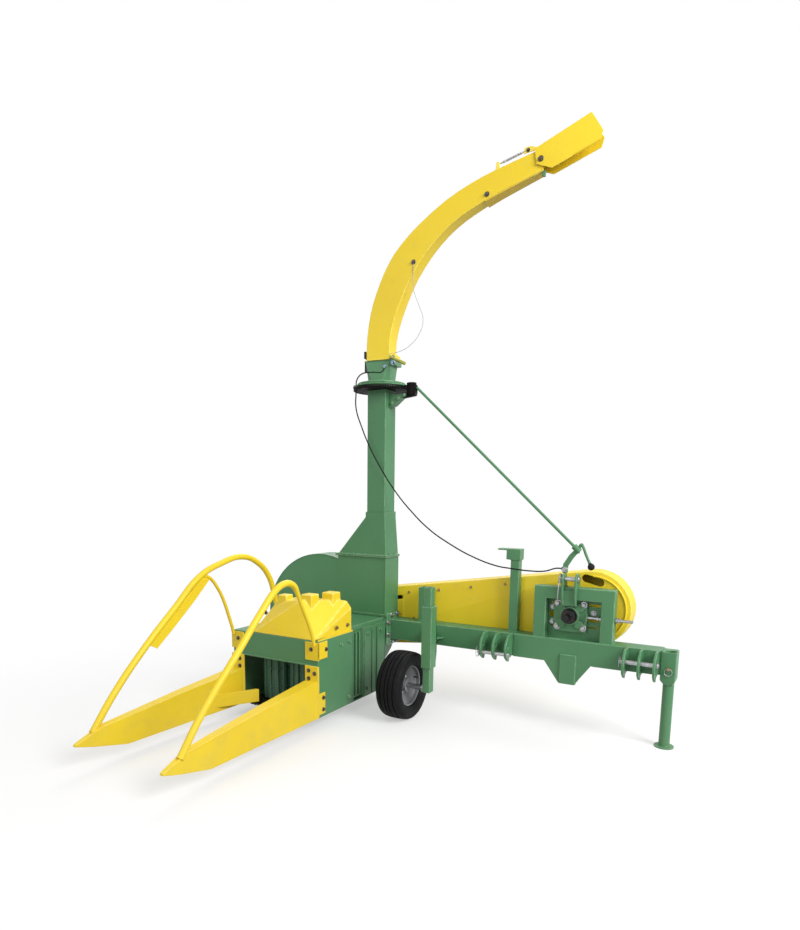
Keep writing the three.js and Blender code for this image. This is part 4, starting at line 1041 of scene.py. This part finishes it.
near = -across_spout
fasteners("collar_bolts", [(over(0.048, -0.0655, 2.090), near), (over(0.101, -0.0665, 2.112), near)], 0.015,
          plated("blue_zinc", (0.20, 0.27, 0.36), (0.12, 0.16, 0.21)), "swivel", "zinc_plate")
collar_corner = [over(s, t, 2.1275) for s, t in ((-0.082, -0.066), (0.080, -0.066), (0.080, 0.066), (-0.082, 0.066))]
weld("collar_lip", [collar_corner + collar_corner[:1]], 0.0028, green_paint, "swivel", "green_paint")
latch_parts = [slab("latch", (-0.094, -0.022, 2.072), (-0.082, 0.022, 2.122)),
               slab("latch", (-0.112, -0.014, 2.078), (-0.094, 0.014, 2.092)),
               slab("latch", (-0.114, -0.010, 2.078), (-0.106, 0.010, 2.146))]
rounded(own(joined(latch_parts, "latch_lever"), dark_steel, "swivel", "dark_steel"), 0.0025)
olive_enamel = enamel("olive_enamel", (0.42, 0.40, 0.08), (0.28, 0.27, 0.06))
fabricated("hinge_pin", 0.002, (olive_enamel, yellow_edge), "swivel", "yellow_paint", angle=40)
grip_outline = [(-0.006, 0.0001), (-0.006, 0.0088), (-0.002, 0.0104), (0.028, 0.0108), (0.035, 0.0085), (0.037, 0.0001)]
tip = turned("lever_grip", grip_outline, over(0.158, -0.090, 2.1107), along_spout * 0.9 + Vector((0, 0, -0.44)), 20)
own(tip, olive_enamel, "swivel", "yellow_paint")
rising = tube("rising_cable", [over(-0.140, -0.078, 1.990), over(-0.139, -0.078, 2.012), over(-0.122, -0.075, 2.045),
                               over(-0.098, -0.070, 2.061), over(-0.079, -0.069, 2.064), over(-0.020, -0.0695, 2.063),
                               over(0.029, -0.0695, 2.062), over(0.045, -0.069, 2.080)], 0.004, smooth=True, sides=12)
own(rising, cable_jacket, "swivel", "cable_jacket")

# ---------- spout ----------
# The bent duct is welded from 4 mm sheet in three lengths and sprayed yellow. It stands on the collar, hinged
# at the front, and carries a bolted liner under its end, the flap's spring rod and the flap's cord.
lengths = []
for node in ("spout", "spout_middle", "spout_end"):
    length = bpy.data.objects.new(node + "_made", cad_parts[node].data.copy())
    bpy.context.scene.collection.objects.link(length)
    lengths.append(length)
duct = joined(lengths, "bent_duct")
edit(duct)
bpy.ops.mesh.remove_doubles(threshold=0.0004)
bpy.ops.mesh.select_all(action="DESELECT")
bpy.ops.mesh.select_interior_faces()
bpy.ops.mesh.delete(type="FACE")
bpy.ops.mesh.select_all(action="SELECT")
bpy.ops.mesh.dissolve_limited(angle_limit=math.radians(0.8))
bpy.ops.mesh.normals_make_consistent(inside=False)
close_edit()


def narrowed(piece):
    """The duct and all on it narrow towards the far end, by the far side coming in."""
    for corner in piece.data.vertices:
        away = corner.co - ring_centre
        s, t = away.dot(along_spout), away.dot(across_spout)
        if t > -0.055:
            share = min(max(s / 0.95, 0.0), 1.0) * 0.45
            corner.co -= (t + 0.061) * share * across_spout
    return piece


own(narrowed(duct), yellow_finish, "spout", "yellow_paint")
rounded(duct, 0.0035, 2, 50)
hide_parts("spout", "spout_middle", "spout_end")
half = 0.061
foot = [over(s, t, 2.1375) for s, t in ((-0.078, -half), (0.075, -half), (0.075, half), (-0.078, half))]
# the bead takes the lighter edge yellow all over: painted highlight and wear
own(tube("spout_foot_bead", foot + foot[:1], 0.0034, sides=8), yellow_edge, "spout", "yellow_paint")
# a darker yellow for the liner under the spout's end and the flap's lip: painted shade of their down-facing sides
yellow_painted_shade = enamel("yellow_enamel_painted_shade", (0.78, 0.54, 0.012), (0.66, 0.44, 0.010))
belly = [(0.640, 2.9395), (0.720, 2.9695), (0.800, 2.9955), (0.880, 3.0215), (0.954, 3.0450)]
liner_outline = [over(s, -half - 0.002, z) for s, z in belly] + [
    over(s + 0.003, -half - 0.002, z - 0.0075) for s, z in reversed(belly)]
liner = cut_plate("duct_liner", liner_outline, across_spout * (2 * half + 0.004))
rounded(own(narrowed(liner), (yellow_painted_shade, yellow_edge), "spout", "yellow_paint"), 0.0015, 1)
hook = slab("latch_hook", (-0.104, -0.016, 2.150), (-0.0775, 0.016, 2.170))
prong = slab("prong", (-0.118, -0.012, 2.160), (-0.104, 0.012, 2.203))
rounded(own(joined([hook, prong], "latch_hook"), dark_steel, "spout", "dark_steel"), 0.0025)
bolt_grey = oiled("bolt_grey", (0.10, 0.095, 0.085))
grey_on_frame = (bolt_grey, "frame", "dark_steel")
narrowed(fasteners("duct_bolts", [(over(s, sign * half, z), near * -sign) for s, z in ((0.222, 2.670), (0.650, 2.969))
                                  for sign in (-1, 1)], 0.015, bolt_grey, "spout", "dark_steel"))
tail = slab("liner_lug", (0.948, -0.058, 3.012), (0.966, -0.040, 3.040))
rounded(own(tail, green_finish, "spout", "green_paint"), 0.0015, 1)


def plate_over(name, outline, t, thickness):
    """A plate standing along the spout, cut to an outline of (along, up), at a place across it."""
    return cut_plate(name, [over(s, t, z) for s, z in outline], across_spout * thickness)


bracket = plate_over("rod_bracket", [(0.690, 3.076), (0.714, 3.085), (0.716, 3.122), (0.704, 3.130), (0.694, 3.124)],
                     -0.052, 0.006)
# the bracket takes the lighter edge yellow on every face: painted highlight and wear
rounded(own(bracket, (yellow_edge, yellow_edge), "spout", "yellow_paint"), 0.0015, 1)
rod_start, rod_end = over(0.703, -0.046, 3.116), over(0.862, -0.046, 3.161)
rod_line = rod_end - rod_start
beside_rod = rod_line.normalized().cross(across_spout)
coil_turns, coil_radius = 20, 0.0062
coil = [rod_start + rod_line * (0.16 + 0.66 * k / 240) + coil_radius * (c * across_spout + s * beside_rod)
        for k, (c, s) in enumerate(turns(240, 0, 360 * coil_turns))]
own(tube("spring_coil", coil, 0.0014, sides=4), zinc_plate, "spout", "zinc_plate")
spring_rod = round_bar("spring_rod", rod_start, rod_end, 0.0035, 16)
spring_rod.data.materials.append(zinc_plate)
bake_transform(spring_rod)
cord_route = [over(s, -0.0635, z) for s, z in (
    (0.222, 2.664), (0.227, 2.515), (0.262, 2.422), (0.288, 2.346), (0.272, 2.275), (0.218, 2.211), (0.150, 2.176),
    (0.075, 2.165))]
cord = tube("flap_cord", cord_route, 0.0016, smooth=True, sides=8)
cord_grey, cord_tree, cord_shader = plain_material("flap_cord", (0.42, 0.42, 0.40), 0.6)
cord_tree.links.new(mix(cord_tree, noise(cord_tree, 220, 3), (0.50, 0.50, 0.47), (0.30, 0.30, 0.29)),
                    cord_shader.inputs["Base Color"])
own(cord, cord_grey, "spout")

# ---------- flap ----------
# The hood at the spout's end, folded from 4 mm sheet. It swings on two bolts and the spring rod holds it.
narrowed(fabricated("flap", 0.0011, yellow_finish, "flap", "yellow_paint", 2, 25))
flap_half = 0.070
narrowed(fasteners("flap_bolts", [(over(0.940, sign * (flap_half + 0.0005), 3.094), near * -sign)
                                  for sign in (-1, 1)], 0.016, bolt_grey, "flap", "dark_steel"))
ear = plate_over("flap_ear", [(0.842, 3.142), (0.905, 3.150), (0.918, 3.128), (0.925, 3.160), (0.880, 3.176),
                              (0.848, 3.172)], -0.052, 0.006)
# the ear takes the lighter edge yellow on every face: painted highlight and wear
rounded(own(ear, (yellow_edge, yellow_edge), "flap", "yellow_paint"), 0.0015, 1)
fasteners("ear_bolt", [(over(0.868, -0.0525, 3.157), near)], 0.011, bolt_grey, "flap", "dark_steel")
seam_t = flap_half - 0.006
narrowed(weld("flap_seams", [[over(0.955, sign * seam_t, 3.172), over(1.180, sign * seam_t, 3.2645)]
                             for sign in (-1, 1)], 0.0022, yellow_paint, "flap", "yellow_paint"))
# the lip along the flap's lower edge takes the darker yellow of painted shade
crease = plate_over("flap_lip", [(1.108, 3.078), (1.240, 3.127), (1.243, 3.136), (1.112, 3.087)],
                    -flap_half - 0.003, 0.004)
own(crease, (yellow_painted_shade, yellow_edge), "flap", "yellow_paint")

# ---------- snouts ----------
# Two long pointed row guides, welded from 4 mm sheet, hollow below, bolted to the header's front corners.
# Each has an inner channel that leads the stalks to the drums.
flange_back, flange_front = 0.7783, 0.7812
for side, face, sign in head_sides:
    fabricated(f"snout_{side}", 0.0016, *yellow_on_frame, 2, 28)
    bolts = spots((1, 0, 0), *((x, face - sign * inward, z) for x, inward, z in (
        (flange_front, 0.058, 0.345), (flange_front, 0.058, 0.300), (flange_front, 0.018, 0.332),
        (0.7785, 0.030, 0.086))))
    bolts += spots((0, sign, 0), *((0.732, face + sign * 0.0065, z) for z in (0.186, 0.118)))
    fasteners(f"snout_bolts_{side}", bolts, 0.013, *grey_on_frame)
    flange = strip(f"snout_flange_{side}", (flange_back, flange_front), (face + sign * 0.0055, face - sign * 0.0845),
                   (0.2865, 0.3715))
    rounded(own(flange, *yellow_on_frame), 0.001, 1)
    weld(f"snout_seams_{side}", [[at(x, face - sign * inward, z) for x, inward, z in run] for run in (
        ((0.7795, 0.002, 0.284), (1.200, 0.002, 0.2505), (1.709, 0.003, 0.1985)),
        ((0.7795, 0.006, 0.2865), (0.7795, 0.080, 0.2865)))], 0.0022, *yellow_seam)

# ---------- dividing rails ----------
# Bent from 35 mm tube, sprayed yellow. Each rises from its snout's nose and arches over, and a thinner rod
# runs down from the arch to a bracket folded round the header's top corner.
rails = {
    "left": ([(1.753, 0.178), (1.630, 0.330), (1.366, 0.590), (1.206, 0.748), (1.106, 0.834), (1.040, 0.8615),
              (0.990, 0.860), (0.950, 0.838), (0.926, 0.800), (0.904, 0.755)],
             [(0.926, 0.800), (0.904, 0.755), (0.800, 0.548), (0.784, 0.492)]),
    "right": ([(1.753, 0.178), (1.630, 0.330), (1.440, 0.520), (1.220, 0.710), (1.040, 0.858), (0.880, 0.918),
               (0.686, 0.945), (0.554, 0.896), (0.463, 0.812), (0.412, 0.700), (0.372, 0.562)],
              [(1.035, 0.861), (0.985, 0.856), (0.926, 0.810), (0.800, 0.548), (0.784, 0.492)])}
for side, face, sign in head_sides:
    rail_y = face - sign * 0.016
    arch, stay = rails[side]
    bar = tube("rail", [at(x, rail_y, z) for x, z in arch], 0.0175, smooth=True, sides=20,
               thinning=(0.55, 0.75, 0.95) if side == "left" else ())
    thin = tube("stay", [at(x, rail_y, z) for x, z in stay], 0.0098, smooth=True, sides=16)
    parts = [bar, thin]
    if side == "right":
        parts.append(cut_plate("stiffener", [at(x, rail_y - 0.004, z) for x, z in (
            (1.405, 0.540), (1.352, 0.512), (1.240, 0.600), (1.090, 0.724), (0.965, 0.838), (1.005, 0.868))],
            (0, 0.008, 0)))
    rail = own(joined(parts, f"rail_{side}"), *yellow_on_frame)
    outer = face + sign * 0.007
    front = strip("corner", (0.7683, 0.776), (outer, face - sign * 0.086), (0.404, 0.506))
    cheek = strip("corner", (0.690, 0.776), (outer, face + sign * 0.0003), (0.410, 0.506))
    rounded(own(joined([front, cheek], f"rail_bracket_{side}"), *yellow_on_frame), 0.002)
    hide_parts(f"divider_{side}")
    bolts = spots((1, 0, 0), (0.776, face - sign * 0.044, 0.466)) + spots((0, sign, 0), (0.705, outer, 0.460))
    fasteners(f"bracket_bolts_{side}", bolts, 0.013, *grey_on_frame)
    foot_ring = [at(1.748 + 0.0185 * c, rail_y + 0.0165 * s, 0.1875 - 0.006 * c) for c, s in turns(16)]
    weld(f"rail_foot_weld_{side}", [foot_ring], 0.0022, *yellow_seam)
fasteners("rail_clamp_bolt", spots((0, 1, 0), (1.196, -1.160, 0.740)), 0.011, *grey_on_frame)
